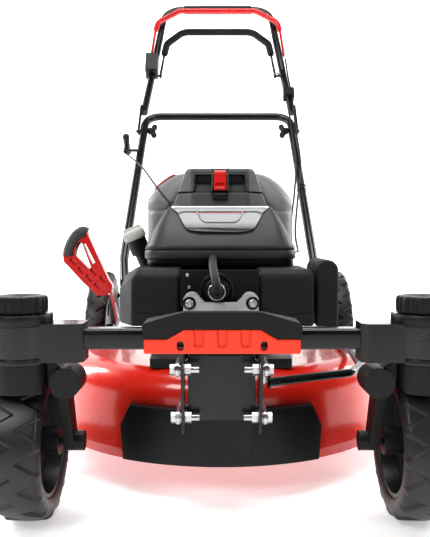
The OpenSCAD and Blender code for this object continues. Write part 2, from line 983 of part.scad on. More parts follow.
module lower_handle() color(black)
    difference() {
        union() {
            pipe([on_handle(-14, -215), on_handle(110, -229), [-211, handle_top[0], handle_top[1]],
                [211, handle_top[0], handle_top[1]], on_handle(110, 229), on_handle(-14, 215)],
                tube_r, 42, [0, -handle_dir[1], handle_dir[0]]);
            // Rope guide on the left side
            stick(on_handle(joint_s - 86, -216), on_handle(joint_s - 86, -256), 4);
            stick(on_handle(joint_s - 92, -258), on_handle(joint_s - 80, -258), 8);
        }
        both_sides() {
            bar_x(pin_r + fit, [190, 240], fold_pin);
            bar_x(pin_r + fit, [190, 240], joint_pin);
        }
        stick(on_handle(joint_s - 96, -258), on_handle(joint_s - 76, -258), 4);
    }

tab_x = [225, 231];

module upper_tube(r)
    pipe([on_handle(joint_s + 88, -219), [-205, knee[0], knee[1]],
        [-174, top_bar[0], top_bar[1]], [174, top_bar[0], top_bar[1]],
        [205, knee[0], knee[1]], on_handle(joint_s + 88, 219)],
        r, 60, [0, -handle_dir[1], handle_dir[0]]);

module upper_handle() color(black)
    difference() {
        union() {
            upper_tube(tube_r);
            both_sides()
                slab_x(tab_x)
                    link_2d(joint_pin, joint_pin + 108 * handle_dir, 11);
            both_sides()
                bar_x(3.5, [194, 216], bail_pin);
            both_sides()
                bar_x(3.5, [176, 204], drive_pin);
        }
        both_sides()
            bar_x(pin_r + fit, [215, 240], joint_pin);
    }

module wing_knob() {
    bar_x(pin_r, [196, 234], joint_pin);
    bar_x(8, [231.5, 236], joint_pin);
    bar_x(10, [184, 201.5], joint_pin);
    slab_x([181, 190])
        translate(joint_pin)
            rotate(45)
                polygon([[-24, -6], [-8, -8], [8, -8], [24, -6], [24, 6], [8, 8], [-8, 8], [-24, 6]]);
}

module wing_knob_right() color(black) wing_knob();

module wing_knob_left() color(black) mirror_x() wing_knob();

module handle_grip() color(black)
    difference() {
        bar_x(foam_r, [-112, 112], top_bar);
        bar_x(tube_r + fit, [-120, 120], top_bar);
    }

// A bail point: length from its pin along an angle, at side offset x
function bail_at(pin, angle, s, x) = [x, pin[0] + s * cos(angle), pin[1] + s * sin(angle)];

stop_angle = 79;
drive_angle = 49.4;

// half lists [length, side offset] from the arm's end up to the flat top
module bail_loop(pin, angle, half, grip_r, bend)
    let (side = [for (p = half) bail_at(pin, angle, p[0], p[1])],
        other = [for (i = [len(half) - 1 : -1 : 0]) bail_at(pin, angle, half[i][0], -half[i][1])])
    pipe(concat(side, other), grip_r, bend, [0, -sin(angle), cos(angle)]);

module stop_bail() color(red) {
    difference() {
        union() {
            both_sides()
                stick(bail_at(bail_pin, stop_angle, 4, 212), bail_at(bail_pin, stop_angle, 84, 201), 4);
            both_sides()
                bar_x(8, [208.5, 215], bail_pin);
            bail_loop(bail_pin, stop_angle, [[82, 201], [112, 192], [150, 122]], 8.5, 30);
        }
        both_sides()
            bar_x(3.5 + fit, [190, 230], bail_pin);
    }
}

module drive_bail() color(black) {
    difference() {
        union() {
            both_sides()
                stick(bail_at(drive_pin, drive_angle, 4, 181), bail_at(drive_pin, drive_angle, 112, 174), 4);
            both_sides()
                bar_x(8, [178, 184], drive_pin);
            bail_loop(drive_pin, drive_angle, [[110, 174], [170, 168], [238, 116]], 11, 40);
        }
        both_sides()
            bar_x(3.5 + fit, [170, 230], drive_pin);
    }
}

module control_box() color(black)
    difference() {
        union() {
            // Switch box in front of the left tube
            translate([-206, knee[0], knee[1]])
                rotate([atan2(top_dir[1], top_dir[0]), 0, 0])
                    box([-20, 18], [-16, 50], [-10, 36]);
            // Cable clamp on the right tube
            translate([214, 885, 777])
                rotate([atan2(handle_dir[1], handle_dir[0]), 0, 0])
                    box([-16, 16], [0, 34], [-4, 24]);
        }
        upper_tube(tube_r + 0.2);
        cable_room();
        bar_x(3.6, [-210, -170], drive_pin);
    }

module starter_grip() color(black) {
    stick(on_handle(joint_s - 79.5, -258), on_handle(joint_s - 60, -258), 5);
    stick(on_handle(joint_s - 60, -258, -34), on_handle(joint_s - 60, -258, 34), 8);
}

// Cords: routes in round numbers
rope_route = [[-86, -48, 424], [-100, -34, 440], [-113, -10, 456], [-123, 40, 468],
    [-168, 270, 518], [-214, 505, 560], [-258, 713, 597]];
stop_route = [[216, 1008, 930], [218, 951, 866], [223, 875, 786], [222, 770, 681], [224, 661, 565],
    [208, 575, 478], [190, 480, 380], [188, 410, 335], [168, 250, 335], [130, 90, 334]];
drive_route = [[188, 966, 876], [200, 930, 845], [208, 870, 785], [209, 769, 682], [211, 660, 566],
    [198, 575, 480], [182, 500, 400], [176, 420, 310], [174, 372, 215], [165, 330, 146]];
cable_r = 2.5;

// Room for the two cables through the clamp
module cable_room() {
    cord(stop_route, cable_r + 0.5);
    cord(drive_route, cable_r + 0.5);
}

module starter_rope() color(black) cord(rope_route, 1.8);

module control_cables() color(black) {
    cord(stop_route, cable_r);
    cord(drive_route, cable_r);
}

mower_deck();
front_bumper();
deck_brackets();
crankcase();
cylinder_cover();
spark_plug();
plug_boot();
engine_cowl();
cowl_badge();
engine_dome();
air_box();
muffler();
muffler_guard();
fuel_tank();
oil_neck();
gearbox();
drive_belt();
hatch_lid();
hatch_latch();
oil_cap();
starter_reel();
crankshaft();
flywheel();
blade_adapter();
mowing_blade();
gearbox_pulley();
front_axle_tube();
crossbar_cover();
crossbar_trim();
link_bolts();
upper_links();
lower_links();
caster_fork_left();
caster_fork_right();
front_rim_left();
front_rim_right();
front_tyre_left();
front_tyre_right();
lock_knob_left();
lock_knob_right();
rear_axle();
rear_rim_left();
rear_rim_right();
rear_tyre_left();
rear_tyre_right();
height_lever();
lever_grip();
height_rod();
rear_flap();
lower_handle();
upper_handle();
wing_knob_left();
wing_knob_right();
handle_grip();
stop_bail();
drive_bail();
control_box();
starter_grip();
starter_rope();
control_cables();
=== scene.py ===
"""Push lawn mower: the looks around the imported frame. Metres, +Z up, front towards -Y."""

import json
from math import cos, floor, pi, radians, sin, tan

import bmesh
import bpy
from mathutils import Matrix, Vector


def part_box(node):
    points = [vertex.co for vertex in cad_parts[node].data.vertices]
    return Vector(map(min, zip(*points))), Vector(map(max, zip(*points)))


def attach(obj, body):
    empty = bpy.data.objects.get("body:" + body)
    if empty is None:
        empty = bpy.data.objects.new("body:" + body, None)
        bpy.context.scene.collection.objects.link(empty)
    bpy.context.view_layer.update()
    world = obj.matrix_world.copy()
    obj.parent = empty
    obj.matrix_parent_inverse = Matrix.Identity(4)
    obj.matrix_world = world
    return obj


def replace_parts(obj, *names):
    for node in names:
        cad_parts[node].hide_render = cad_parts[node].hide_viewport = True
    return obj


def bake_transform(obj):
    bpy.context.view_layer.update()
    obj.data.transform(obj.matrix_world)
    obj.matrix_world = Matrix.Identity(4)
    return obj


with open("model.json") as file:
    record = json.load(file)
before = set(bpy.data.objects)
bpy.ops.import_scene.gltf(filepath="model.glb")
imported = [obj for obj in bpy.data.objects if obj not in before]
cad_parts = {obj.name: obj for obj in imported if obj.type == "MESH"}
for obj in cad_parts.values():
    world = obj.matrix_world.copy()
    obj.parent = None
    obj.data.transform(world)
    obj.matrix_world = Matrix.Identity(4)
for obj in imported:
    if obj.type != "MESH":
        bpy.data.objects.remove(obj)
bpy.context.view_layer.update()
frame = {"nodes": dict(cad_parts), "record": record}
NODES = frame["nodes"]
RECORD = frame["record"]
BODY_OF = {n: b for b, ns in RECORD["behaviour"]["bodies"].items() for n in ns}
SLOT_OF = {s["node"]: s["material_slot"] for s in RECORD["subparts"]}
JOINT_AT = {j["name"]: Vector(j["pos_m"]) for j in RECORD["behaviour"]["joints"] if "pos_m" in j}
FINISH = {}
MM = 0.001


def mm(x, y, z):
    return Vector((x, y, z)) * MM


def new_object(name, data):
    """An object in the scene that shows the data."""
    made = bpy.data.objects.new(name, data)
    bpy.context.collection.objects.link(made)
    return made


def fill(node, **values):
    """Sets a node's inputs by name, with an underscore for each space."""
    for name, value in values.items():
        node.inputs[name.replace("_", " ")].default_value = value
    return node


# ---------- camera, light and floor ----------


def add_camera():
    lens, eye, tilt = 46.93, mm(-8.7, -1255, 370), radians(87.26)
    data = bpy.data.cameras.new("camera")
    data.lens = lens
    data.clip_end = 50
    cam = new_object("camera", data)
    cam.location = eye
    cam.rotation_euler = (tilt, 0, 0)
    bpy.context.scene.camera = cam


def add_light(name, at, target, size, watts):
    data = bpy.data.lights.new(name, "AREA")
    data.shape = "RECTANGLE"
    data.size, data.size_y = size
    data.energy = watts
    lamp = new_object(name, data)
    lamp.location = at
    lamp.rotation_euler = (Vector(target) - Vector(at)).to_track_quat("-Z", "Y").to_euler()


def add_lights():
    aim = (0, 0, 0.25)
    add_light("key", (-1.5, -2.3, 2.2), aim, (0.8, 1.3), 38)
    add_light("fill", (1.9, -2.0, 1.4), aim, (0.4, 1.5), 15)
    add_light("top", (0.0, -0.1, 2.9), aim, (2.0, 1.0), 40)
    add_light("rim_left", (-2.3, 1.2, 1.3), (0, 0, 0.4), (0.6, 1.6), 34)
    add_light("rim_right", (2.3, 1.4, 1.3), (0, 0, 0.4), (0.6, 1.6), 28)


def add_world():
    world = bpy.data.worlds.new("studio")
    world.use_nodes = True
    fill(world.node_tree.nodes["Background"], Color=(1, 1, 1, 1), Strength=0.1)
    bpy.context.scene.world = world
    bpy.context.scene.view_settings.view_transform = "Standard"
    bpy.context.scene.view_settings.look = "Medium High Contrast"


def sweep_material():
    """White paper that glows towards the back, so that the floor runs into the wall unseen."""
    t = Tree("floor_paper")
    cloud = t.noise(3.0, 2.0, 0.5)
    fill(t.shader, Roughness=0.75, Emission_Color=(1, 1, 1, 1))
    return t.feed(Base_Color=t.mix(cloud, (0.9, 0.9, 0.905), (0.915, 0.915, 0.915)),
                  Emission_Strength=t.remap(t.position("Y"), -0.6, 2.2, 0.3, 1.0),
                  Normal=t.bump(t.noise(120, 2.0, 0.5), 0.1, 0.0004))


def add_floor():
    """A floor that curves up into a wall behind the mower."""
    reach, back, bend, wall_top = 9.0, 2.6, 1.6, 7.0
    line = [(-reach, 0.0), (back, 0.0)]
    for degrees in range(10, 91, 10):
        a = radians(degrees)
        line.append((back + bend * sin(a), bend - bend * cos(a)))
    line.append((4.2, wall_top))
    verts = [Vector((x, y, z)) for y, z in line for x in (-reach, reach)]
    faces = [(2 * i, 2 * i + 1, 2 * i + 3, 2 * i + 2) for i in range(len(line) - 1)]
    add_mesh("floor", verts, faces, sweep_material())


# ---------- node trees ----------


class Tree:
    """The node tree of a material that goes into FINISH, with short calls for what they share."""

    def __init__(self, name):
        self.material = bpy.data.materials.new(name)
        FINISH[name] = self.material
        self.material.use_nodes = True
        self.tree = self.material.node_tree
        self.shader = self.tree.nodes["Principled BSDF"]
        self.coords = self.node("TexCoord").outputs["Object"]

    def node(self, kind, **settings):
        made = self.tree.nodes.new("ShaderNode" + kind)
        for key, value in settings.items():
            setattr(made, key, value)
        return made

    def link(self, source, target):
        self.tree.links.new(source, target)

    def feed(self, **sources):
        """Links sockets to the shader's inputs by name, and returns the material."""
        for name, source in sources.items():
            self.link(source, self.shader.inputs[name.replace("_", " ")])
        return self.material

    def stretched(self, scale):
        mapping = fill(self.node("Mapping"), Scale=scale)
        self.link(self.coords, mapping.inputs["Vector"])
        return mapping.outputs["Vector"]

    def noise(self, scale, detail=3.0, rough=0.55, where=None):
        made = fill(self.node("TexNoise"), Scale=scale, Detail=detail, Roughness=rough)
        self.link(where or self.coords, made.inputs["Vector"])
        return made.outputs["Fac"]

    def cells(self, scale):
        made = fill(self.node("TexVoronoi"), Scale=scale)
        self.link(self.coords, made.inputs["Vector"])
        return made.outputs["Distance"]

    def remap(self, value, low, high, out_low, out_high):
        made = self.node("MapRange")
        for i, v in enumerate((low, high, out_low, out_high)):
            made.inputs[i + 1].default_value = v
        self.link(value, made.inputs["Value"])
        return made.outputs["Result"]

    def multiply(self, a, b):
        made = self.node("Math", operation="MULTIPLY")
        self.link(a, made.inputs[0])
        self.link(b, made.inputs[1])
        return made.outputs["Value"]

    def mix(self, factor, a, b):
        """Colours mixed by a factor; a and b are colours or sockets."""
        made = self.node("Mix", data_type="RGBA")
        self.link(factor, made.inputs["Factor"])
        for key, value in (("A", a), ("B", b)):
            socket = [s for s in made.inputs if s.name == key and s.type == "RGBA"][0]
            if isinstance(value, (tuple, list)):
                socket.default_value = (*value[:3], 1)
            else:
                self.link(value, socket)
        return [s for s in made.outputs if s.type == "RGBA"][0]

    def position(self, axis):
        split = self.node("SeparateXYZ")
        self.link(self.coords, split.inputs["Vector"])
        return split.outputs[axis]

    def dusted(self, base, cloud, reach, amount, colour):
        """The base colour under dust that thickens towards the ground."""
        low = self.remap(self.position("Z"), reach, 0.0, 0, amount)
        return self.mix(self.multiply(low, self.remap(cloud, 0.35, 0.65, 0.3, 1)), base, colour)

    def bump(self, height, strength, distance, below=None):
        made = fill(self.node("Bump"), Strength=strength, Distance=distance)
        self.link(height, made.inputs["Height"])
        if below is not None:
            self.link(below, made.inputs["Normal"])
        return made.outputs["Normal"]

    def soft_edges(self, radius):
        return fill(self.node("Bevel", samples=4), Radius=radius).outputs["Normal"]


def tint(colour, k):
    return tuple(min(1.0, c * k) for c in colour[:3])


def finish(name, colour, rough, metallic=0.0, coat=0.0, spread=0.08, tone=0.16, tone_scale=9.0,
           grain=0.25, grain_scale=700.0, grain_depth=0.0003, stretch=None, dust=0.0, edge=0.0012,
           wear_and_edge_highlight=0.0, specular=0.5):
    """A procedural finish: cloudy tone, grain as bump, uneven gloss, rounded edges, dust low down, and
    lighter convex edges that are partly wear and partly painted highlight.
    """
    t = Tree(name)
    cloud = t.noise(tone_scale, 4.0, 0.6)
    where = t.stretched(stretch) if stretch else None
    pores = t.noise(grain_scale, 2.0, 0.6, where)
    base = t.mix(t.remap(cloud, 0.3, 0.7, 0, 1), tint(colour, 1 - tone), tint(colour, 1 + tone))
    # Lighter convex edges: rubbed wear on the painted frame and handle, and a painted highlight along the
    # tyre's tread edges.
    if wear_and_edge_highlight:
        pointy = t.node("NewGeometry").outputs["Pointiness"]
        rubbed_and_highlit = t.multiply(t.remap(pointy, 0.53, 0.62, 0, wear_and_edge_highlight), t.remap(pores, 0.4, 0.6, 0.2, 1))
        base = t.mix(rubbed_and_highlit, base, tint(tuple(c + 0.08 for c in colour), 1.6))
    if dust:
        base = t.dusted(base, cloud, 0.16, dust, (0.34, 0.31, 0.27))
    fill(t.shader, Metallic=metallic, Specular_IOR_Level=specular, Coat_Weight=coat, Coat_Roughness=0.05)
    return t.feed(Base_Color=base,
                  Roughness=t.remap(cloud, 0.3, 0.7, max(0.02, rough - spread), rough + spread),
                  Normal=t.bump(pores, grain, grain_depth, t.soft_edges(edge)))


def pebbled(name, colour, rough, cell_scale, depth, strength=0.5, dust=0.0, edge=0.0015, specular=0.5):
    """Moulded texture or foam: cells as bump, and a cloudy gloss."""
    spread, tone = 0.08, 0.12
    t = Tree(name)
    cloud = t.noise(14, 4.0, 0.6)
    cells = t.cells(cell_scale)
    base = t.mix(t.remap(cells, 0.1, 0.6, 0, 1), tint(colour, 1 - tone), tint(colour, 1 + tone))
    if dust:
        base = t.dusted(base, cloud, 0.2, dust, (0.3, 0.28, 0.25))
    fill(t.shader, Specular_IOR_Level=specular)
    return t.feed(Base_Color=base, Roughness=t.remap(cloud, 0.3, 0.7, rough - spread, rough + spread),
                  Normal=t.bump(cells, strength, depth, t.soft_edges(edge)))


def make_finishes():
    """Fills FINISH, which also knows two of them by the CAD node that they dress."""
    finish("deck_paint", (0.76, 0.024, 0.010), 0.25, coat=0.5, spread=0.05, tone=0.1, grain=0.1,
           grain_scale=260, dust=0.12, edge=0.0025)
    finish("frame_paint", (0.008, 0.008, 0.009), 0.26, coat=0.35, grain=0.15, grain_scale=420,
           dust=0.03, edge=0.002, wear_and_edge_highlight=0.1, specular=0.35)
    finish("handle_paint", (0.007, 0.007, 0.008), 0.26, coat=0.25, grain=0.1, grain_scale=400,
           wear_and_edge_highlight=0.1, specular=0.35)
    pebbled("black_plastic", (0.009, 0.009, 0.01), 0.4, 900, 0.00025, 0.4, dust=0.03, specular=0.35)
    finish("engine_black", (0.01, 0.01, 0.011), 0.45, grain=0.5, grain_scale=520,
           grain_depth=0.0004, specular=0.35)
    finish("bright_alloy", (0.66, 0.66, 0.67), 0.38, metallic=0.45, grain=0.35, grain_scale=620,
           tone=0.12, tone_scale=30, edge=0.002)
    pebbled("cowl_plastic", (0.045, 0.045, 0.046), 0.42, 800, 0.0003, specular=0.45)
    pebbled("cover_plastic", (0.026, 0.026, 0.027), 0.5, 850, 0.0003, specular=0.18)
    pebbled("dome_plastic", (0.17, 0.17, 0.175), 0.42, 900, 0.0002, 0.35)
    finish("red_plastic", (0.62, 0.010, 0.008), 0.25, coat=0.5, grain=0.12, grain_scale=500, edge=0.002)
    pebbled("orange_plastic", (0.83, 0.055, 0.02), 0.44, 900, 0.0002, 0.3, edge=0.002)
    pebbled("pale_plastic", (0.52, 0.52, 0.5), 0.5, 800, 0.0004)
    pebbled("grip_grey", (0.05, 0.052, 0.056), 0.6, 1000, 0.0003)
    pebbled("foam", (0.014, 0.014, 0.015), 0.75, 650, 0.0005, 0.8, specular=0.3)
    finish("rubber", (0.016, 0.016, 0.017), 0.5, grain=0.3, grain_scale=900)
    # The tyre's lighter tread edges are a painted highlight.
    finish("tyre", (0.014, 0.014, 0.015), 0.42, grain=0.3, grain_scale=900, dust=0.1, wear_and_edge_highlight=0.6)
    pebbled("rim_plastic", (0.014, 0.014, 0.015), 0.36, 900, 0.0002, 0.4, dust=0.05)
    finish("cast_alloy", (0.42, 0.43, 0.44), 0.45, metallic=0.85, grain=0.8, grain_scale=520,
           grain_depth=0.0005, tone=0.25)
    finish("badge_metal", (0.62, 0.63, 0.64), 0.3, metallic=0.7, grain=0.2, grain_scale=300,
           stretch=(0.1, 1, 1))
    finish("zinc", (0.62, 0.62, 0.62), 0.3, metallic=0.95, grain=0.3, grain_scale=800, tone=0.2,
           tone_scale=40, edge=0.0008)
    finish("steel", (0.33, 0.33, 0.34), 0.36, metallic=0.9, grain=0.5, grain_scale=500,
           stretch=(1, 0.08, 1), tone=0.25, tone_scale=20, edge=0.0008)
    finish("cord", (0.02, 0.02, 0.02), 0.7, grain=0.9, grain_scale=1400, edge=0.0002)
    FINISH["crankcase"] = FINISH["engine_black"]
    FINISH["cylinder_cover"] = FINISH["bright_alloy"]


# ---------- CAD nodes that stay ----------


def smooth_by_angle(limit):
    """A geometry-node group that welds, smooths faces and keeps edges sharper than the limit."""
    group = bpy.data.node_groups.new("cad_smooth", "GeometryNodeTree")
    group.interface.new_socket("Geometry", in_out="INPUT", socket_type="NodeSocketGeometry")
    group.interface.new_socket("Geometry", in_out="OUTPUT", socket_type="NodeSocketGeometry")
    new, link = group.nodes.new, group.links.new
    source, target = new("NodeGroupInput"), new("NodeGroupOutput")
    plain = fill(new("GeometryNodeRemoveAttribute"), Name="custom_normal")
    weld = fill(new("GeometryNodeMergeByDistance"), Distance=1e-6)
    faces = new("GeometryNodeSetShadeSmooth")
    faces.domain = "FACE"
    edges = fill(new("GeometryNodeSetShadeSmooth"), Shade_Smooth=False)
    edges.domain = "EDGE"
    angle = new("GeometryNodeInputMeshEdgeAngle")
    sharp = new("FunctionNodeCompare")
    sharp.data_type, sharp.operation = "FLOAT", "GREATER_THAN"
    fill(sharp, B=limit)
    link(angle.outputs["Unsigned Angle"], sharp.inputs["A"])
    link(sharp.outputs["Result"], edges.inputs["Selection"])
    chain = (source, plain, weld, faces, edges, target)
    for before, after in zip(chain, chain[1:]):
        link(before.outputs["Geometry"], after.inputs["Geometry"])
    return group


def dress_cad_nodes():
    group = smooth_by_angle(radians(28))
    for name, node in NODES.items():
        node.data.materials.clear()
        node.data.materials.append(FINISH.get(name) or FINISH[SLOT_OF[name]])
        node.modifiers.new("smooth", "NODES").node_group = group


# ---------- mesh helpers ----------


def add_mesh(name, verts, faces, material, smooth=True):
    data = bpy.data.meshes.new(name)
    data.from_pydata([tuple(v) for v in verts], [], faces)
    data.update()
    made = new_object(name, data)
    data.materials.append(FINISH[material] if isinstance(material, str) else material)
    clean(made)
    if smooth:
        data.shade_smooth()
    return made


def clean(obj):
    shape = bmesh.new()
    shape.from_mesh(obj.data)
    bmesh.ops.recalc_face_normals(shape, faces=shape.faces)
    shape.to_mesh(obj.data)
    shape.free()


def bake_modifiers(obj):
    """Applies the modifiers by taking the evaluated mesh."""
    bpy.context.view_layer.update()
    graph = bpy.context.evaluated_depsgraph_get()
    data = bpy.data.meshes.new_from_object(obj.evaluated_get(graph))
    obj.modifiers.clear()
    obj.data = data


def round_edges(obj, width, segments=3, angle=30):
    """Rounds edges sharper than the angle, in degrees, and applies the result."""
    made = obj.modifiers.new("round", "BEVEL")
    made.width = width
    made.segments = segments
    made.limit_method = "ANGLE"
    made.angle_limit = radians(angle)
    made.harden_normals = False
    keep = obj.modifiers.new("normals", "WEIGHTED_NORMAL")
    keep.keep_sharp = True
    bake_modifiers(obj)
    return obj


def cut(obj, cutters):
    """Takes the cutters away from a piece, and deletes them."""
    for cutter in cutters:
        made = obj.modifiers.new("cut", "BOOLEAN")
        made.object = cutter
        made.operation = "DIFFERENCE"
        made.solver = "EXACT"
    bake_modifiers(obj)
    for cutter in cutters:
        bpy.data.objects.remove(cutter)


def put(obj, node):
    """Ties a piece to a CAD node's body and hides the node that it stands for."""
    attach(obj, BODY_OF[node])
    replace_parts(obj, node)
    return obj


def detail(obj, slot, body="deck"):
    """Ties a piece that no CAD node has to a body."""
    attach(obj, body)


def slab_mesh(name, verts, material):
    """A flat-sided solid from the corners of its two ends, one after the other."""
    n = len(verts) // 2
    faces = [tuple(range(n)), tuple(range(2 * n - 1, n - 1, -1))]
    faces += [(i, (i + 1) % n, n + (i + 1) % n, n + i) for i in range(n)]
    return add_mesh(name, verts, faces, material, smooth=False)


def prism(name, outline, span, axis, material):
    """An outline extruded along an axis: x takes (y, z) points and y takes (x, z) points, in mm."""
    place = {"x": lambda p, t: mm(t, p[0], p[1]), "y": lambda p, t: mm(p[0], t, p[1])}[axis]
    return slab_mesh(name, [place(p, t) for t in span for p in outline], material)


def block(name, points, material, radius, cutters=()):
    """The convex shape round points in mm, with round edges, then cut."""
    shape = bmesh.new()
    for p in points:
        shape.verts.new(mm(*p))
    made = bmesh.ops.convex_hull(shape, input=shape.verts)
    inside = [g for g in made["geom_interior"] if isinstance(g, bmesh.types.BMVert)]
    bmesh.ops.delete(shape, geom=inside, context="VERTS")
    bmesh.ops.dissolve_limit(shape, angle_limit=radians(1), verts=shape.verts, edges=shape.edges)
    data = bpy.data.meshes.new(name)
    shape.to_mesh(data)
    shape.free()
    data.materials.append(FINISH[material])
    piece = new_object(name, data)
    clean(piece)
    if radius:
        round_edges(piece, radius * MM, 4)
    if cutters:
        cut(piece, cutters)
        round_edges(piece, 0.0008, 2, 50)
    return piece


def corners(x, y, z):
    """Every point with one of the x, one of the y and one of the z values."""
    return [(a, b, c) for a in x for b in y for c in z]


def both(points, start=0):
    """Right-hand points and their mirror image, begun a few points before the first."""
    outline = list(points) + [(-x, s) for x, s in reversed(points)]
    return outline[-start:] + outline[:-start]


def box(name, x, y, z, radius=0, material="black_plastic"):
    return block(name, corners(x, y, z), material, radius)


def rounded_ring(hw, y0, y1, r, z, steps=8):
    """A rounded rectangle at height z, from -hw to hw and y0 to y1."""
    points = []
    centres = ((hw - r, y1 - r, 0), (r - hw, y1 - r, 90), (r - hw, y0 + r, 180), (hw - r, y0 + r, 270))
    for cx, cy, start in centres:
        for i in range(steps + 1):
            a = radians(start + 90 * i / steps)
            points.append(mm(cx + r * cos(a), cy + r * sin(a), z))
    return points


def loft(name, rings, material, joined=False):
    """A skin over rings: closed at both ends, or with the last ring joined to the first."""
    n, count = len(rings[0]), len(rings)
    faces = []
    for i in range(count if joined else count - 1):
        a, b = i * n, (i + 1) % count * n
        faces += [(a + k, a + (k + 1) % n, b + (k + 1) % n, b + k) for k in range(n)]
    if not joined:
        faces += [tuple(range(n)), tuple(range((count - 1) * n, count * n))]
    return add_mesh(name, [v for ring in rings for v in ring], faces, material)


def blend_values(a, b, t):
    return [p + (q - p) * t for p, q in zip(a, b)]


def handle_axes():
    """The handle's lower and upper pivots, its direction, and the direction off its front."""
    fold, joint = JOINT_AT["lower_handle_fold"], JOINT_AT["upper_handle_fold"]
    along = (joint - fold).normalized()
    return fold, joint, along, Vector((0, -along.z, along.y))


def smooth_path(points, steps=10):
    """A Catmull-Rom line through points in mm."""
    pts = [mm(*p) for p in points]
    pts = [2 * pts[0] - pts[1]] + pts + [2 * pts[-1] - pts[-2]]
    line = []
    for i in range(1, len(pts) - 2):
        p0, p1, p2, p3 = pts[i - 1:i + 3]
        for k in range(steps):
            t = k / steps
            line.append(0.5 * (2 * p1 + (p2 - p0) * t + (2 * p0 - 5 * p1 + 4 * p2 - p3) * t * t
                               + (3 * p1 - p0 - 3 * p2 + p3) * t ** 3))
    line.append(pts[-2])
    return line


def frames_along(line):
    """Two cross directions at each point of a line, carried without twist."""
    last = len(line) - 1
    tangents = [(line[min(i + 1, last)] - line[max(i - 1, 0)]).normalized() for i in range(last + 1)]
    side = tangents[0].orthogonal().normalized()
    pairs = []
    for t in tangents:
        side = (side - side.dot(t) * t).normalized()
        pairs.append((side, t.cross(side)))
    return pairs


def tube(name, line, radius, material, sides=20, twist=0.0, lobes=0, lobe_depth=0.0):
    """A tube along a line; radius is a number or a function of the share of its length."""
    at = radius if callable(radius) else (lambda t: radius)
    rings = []
    for i, (p, (u, v)) in enumerate(zip(line, frames_along(line))):
        share = i / (len(line) - 1)
        ring = []
        for k in range(sides):
            a = 2 * pi * k / sides
            r = at(share) + (lobe_depth * cos(lobes * a + twist * i) if lobes else 0)
            ring.append(p + r * (cos(a) * u + sin(a) * v))
        rings.append(ring)
    return loft(name, rings, material)


def lathe(name, profile, centre, axis, material, around=96, shape=None):
    """A closed profile of (along, radius) points in mm turned about an axis through centre.
    shape(angle, index, along, radius) may change a point's (along, radius)."""
    rings = []
    for i in range(around):
        a = 2 * pi * i / around
        ring = []
        for k, (along, radius) in enumerate(profile):
            if shape:
                along, radius = shape(a, k, along, radius)
            c, s = radius * cos(a), radius * sin(a)
            point = {"x": (along, c, s), "y": (c, along, s), "z": (c, s, along)}[axis]
            ring.append(Vector(centre) + mm(*point))
        rings.append(ring)
    return loft(name, rings, material, True)


def join(name, parts):
    """One object from several."""
    bpy.context.view_layer.update()
    shape = bmesh.new()
    for part in parts:
        part.data.transform(part.matrix_world)
        shape.from_mesh(part.data)
    data = bpy.data.meshes.new(name)
    shape.to_mesh(data)
    shape.free()
    data.materials.append(parts[0].data.materials[0])
    made = new_object(name, data)
    for part in parts:
        bpy.data.objects.remove(part)
    return made


# ---------- cords ----------

ROPE = [(-86, -48, 424), (-100, -34, 440), (-113, -10, 456), (-123, 40, 468), (-168, 270, 518),
        (-214, 505, 560), (-258, 713, 597)]
STOP = [(216, 1008, 930), (218, 951, 866), (223, 875, 786), (222, 770, 681), (224, 661, 565),
        (208, 575, 478), (190, 480, 380), (188, 410, 335), (168, 250, 335), (130, 90, 334)]
DRIVE = [(188, 966, 876), (200, 930, 845), (208, 870, 785), (209, 769, 682), (211, 660, 566),
         (198, 575, 480), (182, 500, 400), (176, 420, 310), (174, 372, 215), (165, 330, 146)]
CABLE_RADIUS, ROPE_RADIUS = 0.0025, 0.0018


def add_cable(name, route):
    """A control cable in two lengths, split at the clip below the upper handle's joint."""
    line = smooth_path(route)
    split = 40
    upper = tube(name + "_upper", line[:split + 1], CABLE_RADIUS, "rubber", 12)
    lower = tube(name + "_lower", line[split:], CABLE_RADIUS, "rubber", 12)
    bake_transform(upper)
    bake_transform(lower)
    return upper, lower


def add_cords():
    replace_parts(add_cable("stop_cable", STOP)[1], "control_cables")
    add_cable("drive_cable", DRIVE)
    rope = tube("rope", smooth_path(ROPE), ROPE_RADIUS, "cord", 12, twist=0.6, lobes=3, lobe_depth=0.0003)
    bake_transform(rope)
    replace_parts(rope, "starter_rope")


# ---------- wheels ----------


def tyre_outline(radius, half, rim):
    """Points (along, radius) round a tyre's section: bead, wall, shoulder and crown."""
    wall = [(half - 5, rim), (half - 1.6, rim + 4), (half - 0.4, rim + 9), (half, (rim + radius) / 2),
            (half - 0.3, radius - 9), (half - 1.4, radius - 5.5), (half - 3.4, radius - 2.8),
            (half - 6, radius - 1.2)]
    steps = int(half * 1.2)
    span, fall = half - 7.5, 0.9
    crown = [(span * t, radius - fall * t * t) for t in [1 - 2 * i / steps for i in range(steps + 1)]]
    return wall + crown + [(-x, r) for x, r in reversed(wall)]


def tread(radius, half, pitches, depth):
    """Triangular pockets that reach in from both shoulders in turn."""
    wall_foot = radius - 14

    def shape(angle, index, along, r):
        if r < wall_foot:
            return along, r
        share = angle * pitches / (2 * pi) + (0.5 if along > 0 else 0)
        q = abs(share - floor(share) - 0.5)
        inward = half - abs(along)
        width = 0.42 * (1 - (inward - 1) / (half * 0.9))
        sunk = max(0.0, min(1.0, (width - q) / 0.035)) * max(0.0, min(1.0, (inward + 3) / 3))
        return along, r - depth * sunk

    return shape


def add_tyre(side, end):
    node = f"{end}_tyre_{side}"
    low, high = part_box(node)
    centre = (low + high) / 2
    radius, half = (high.z - low.z) / 2 / MM, (high.x - low.x) / 2 / MM
    rim, pitches, depth = (72, 16, 3.2) if end == "front" else (103, 26, 3.6)
    section = tyre_outline(radius, half, rim)
    shape = tread(radius, half, pitches, depth)
    put(lathe(node + "_tread", section, centre, "x", "tyre", pitches * 28, shape), node)


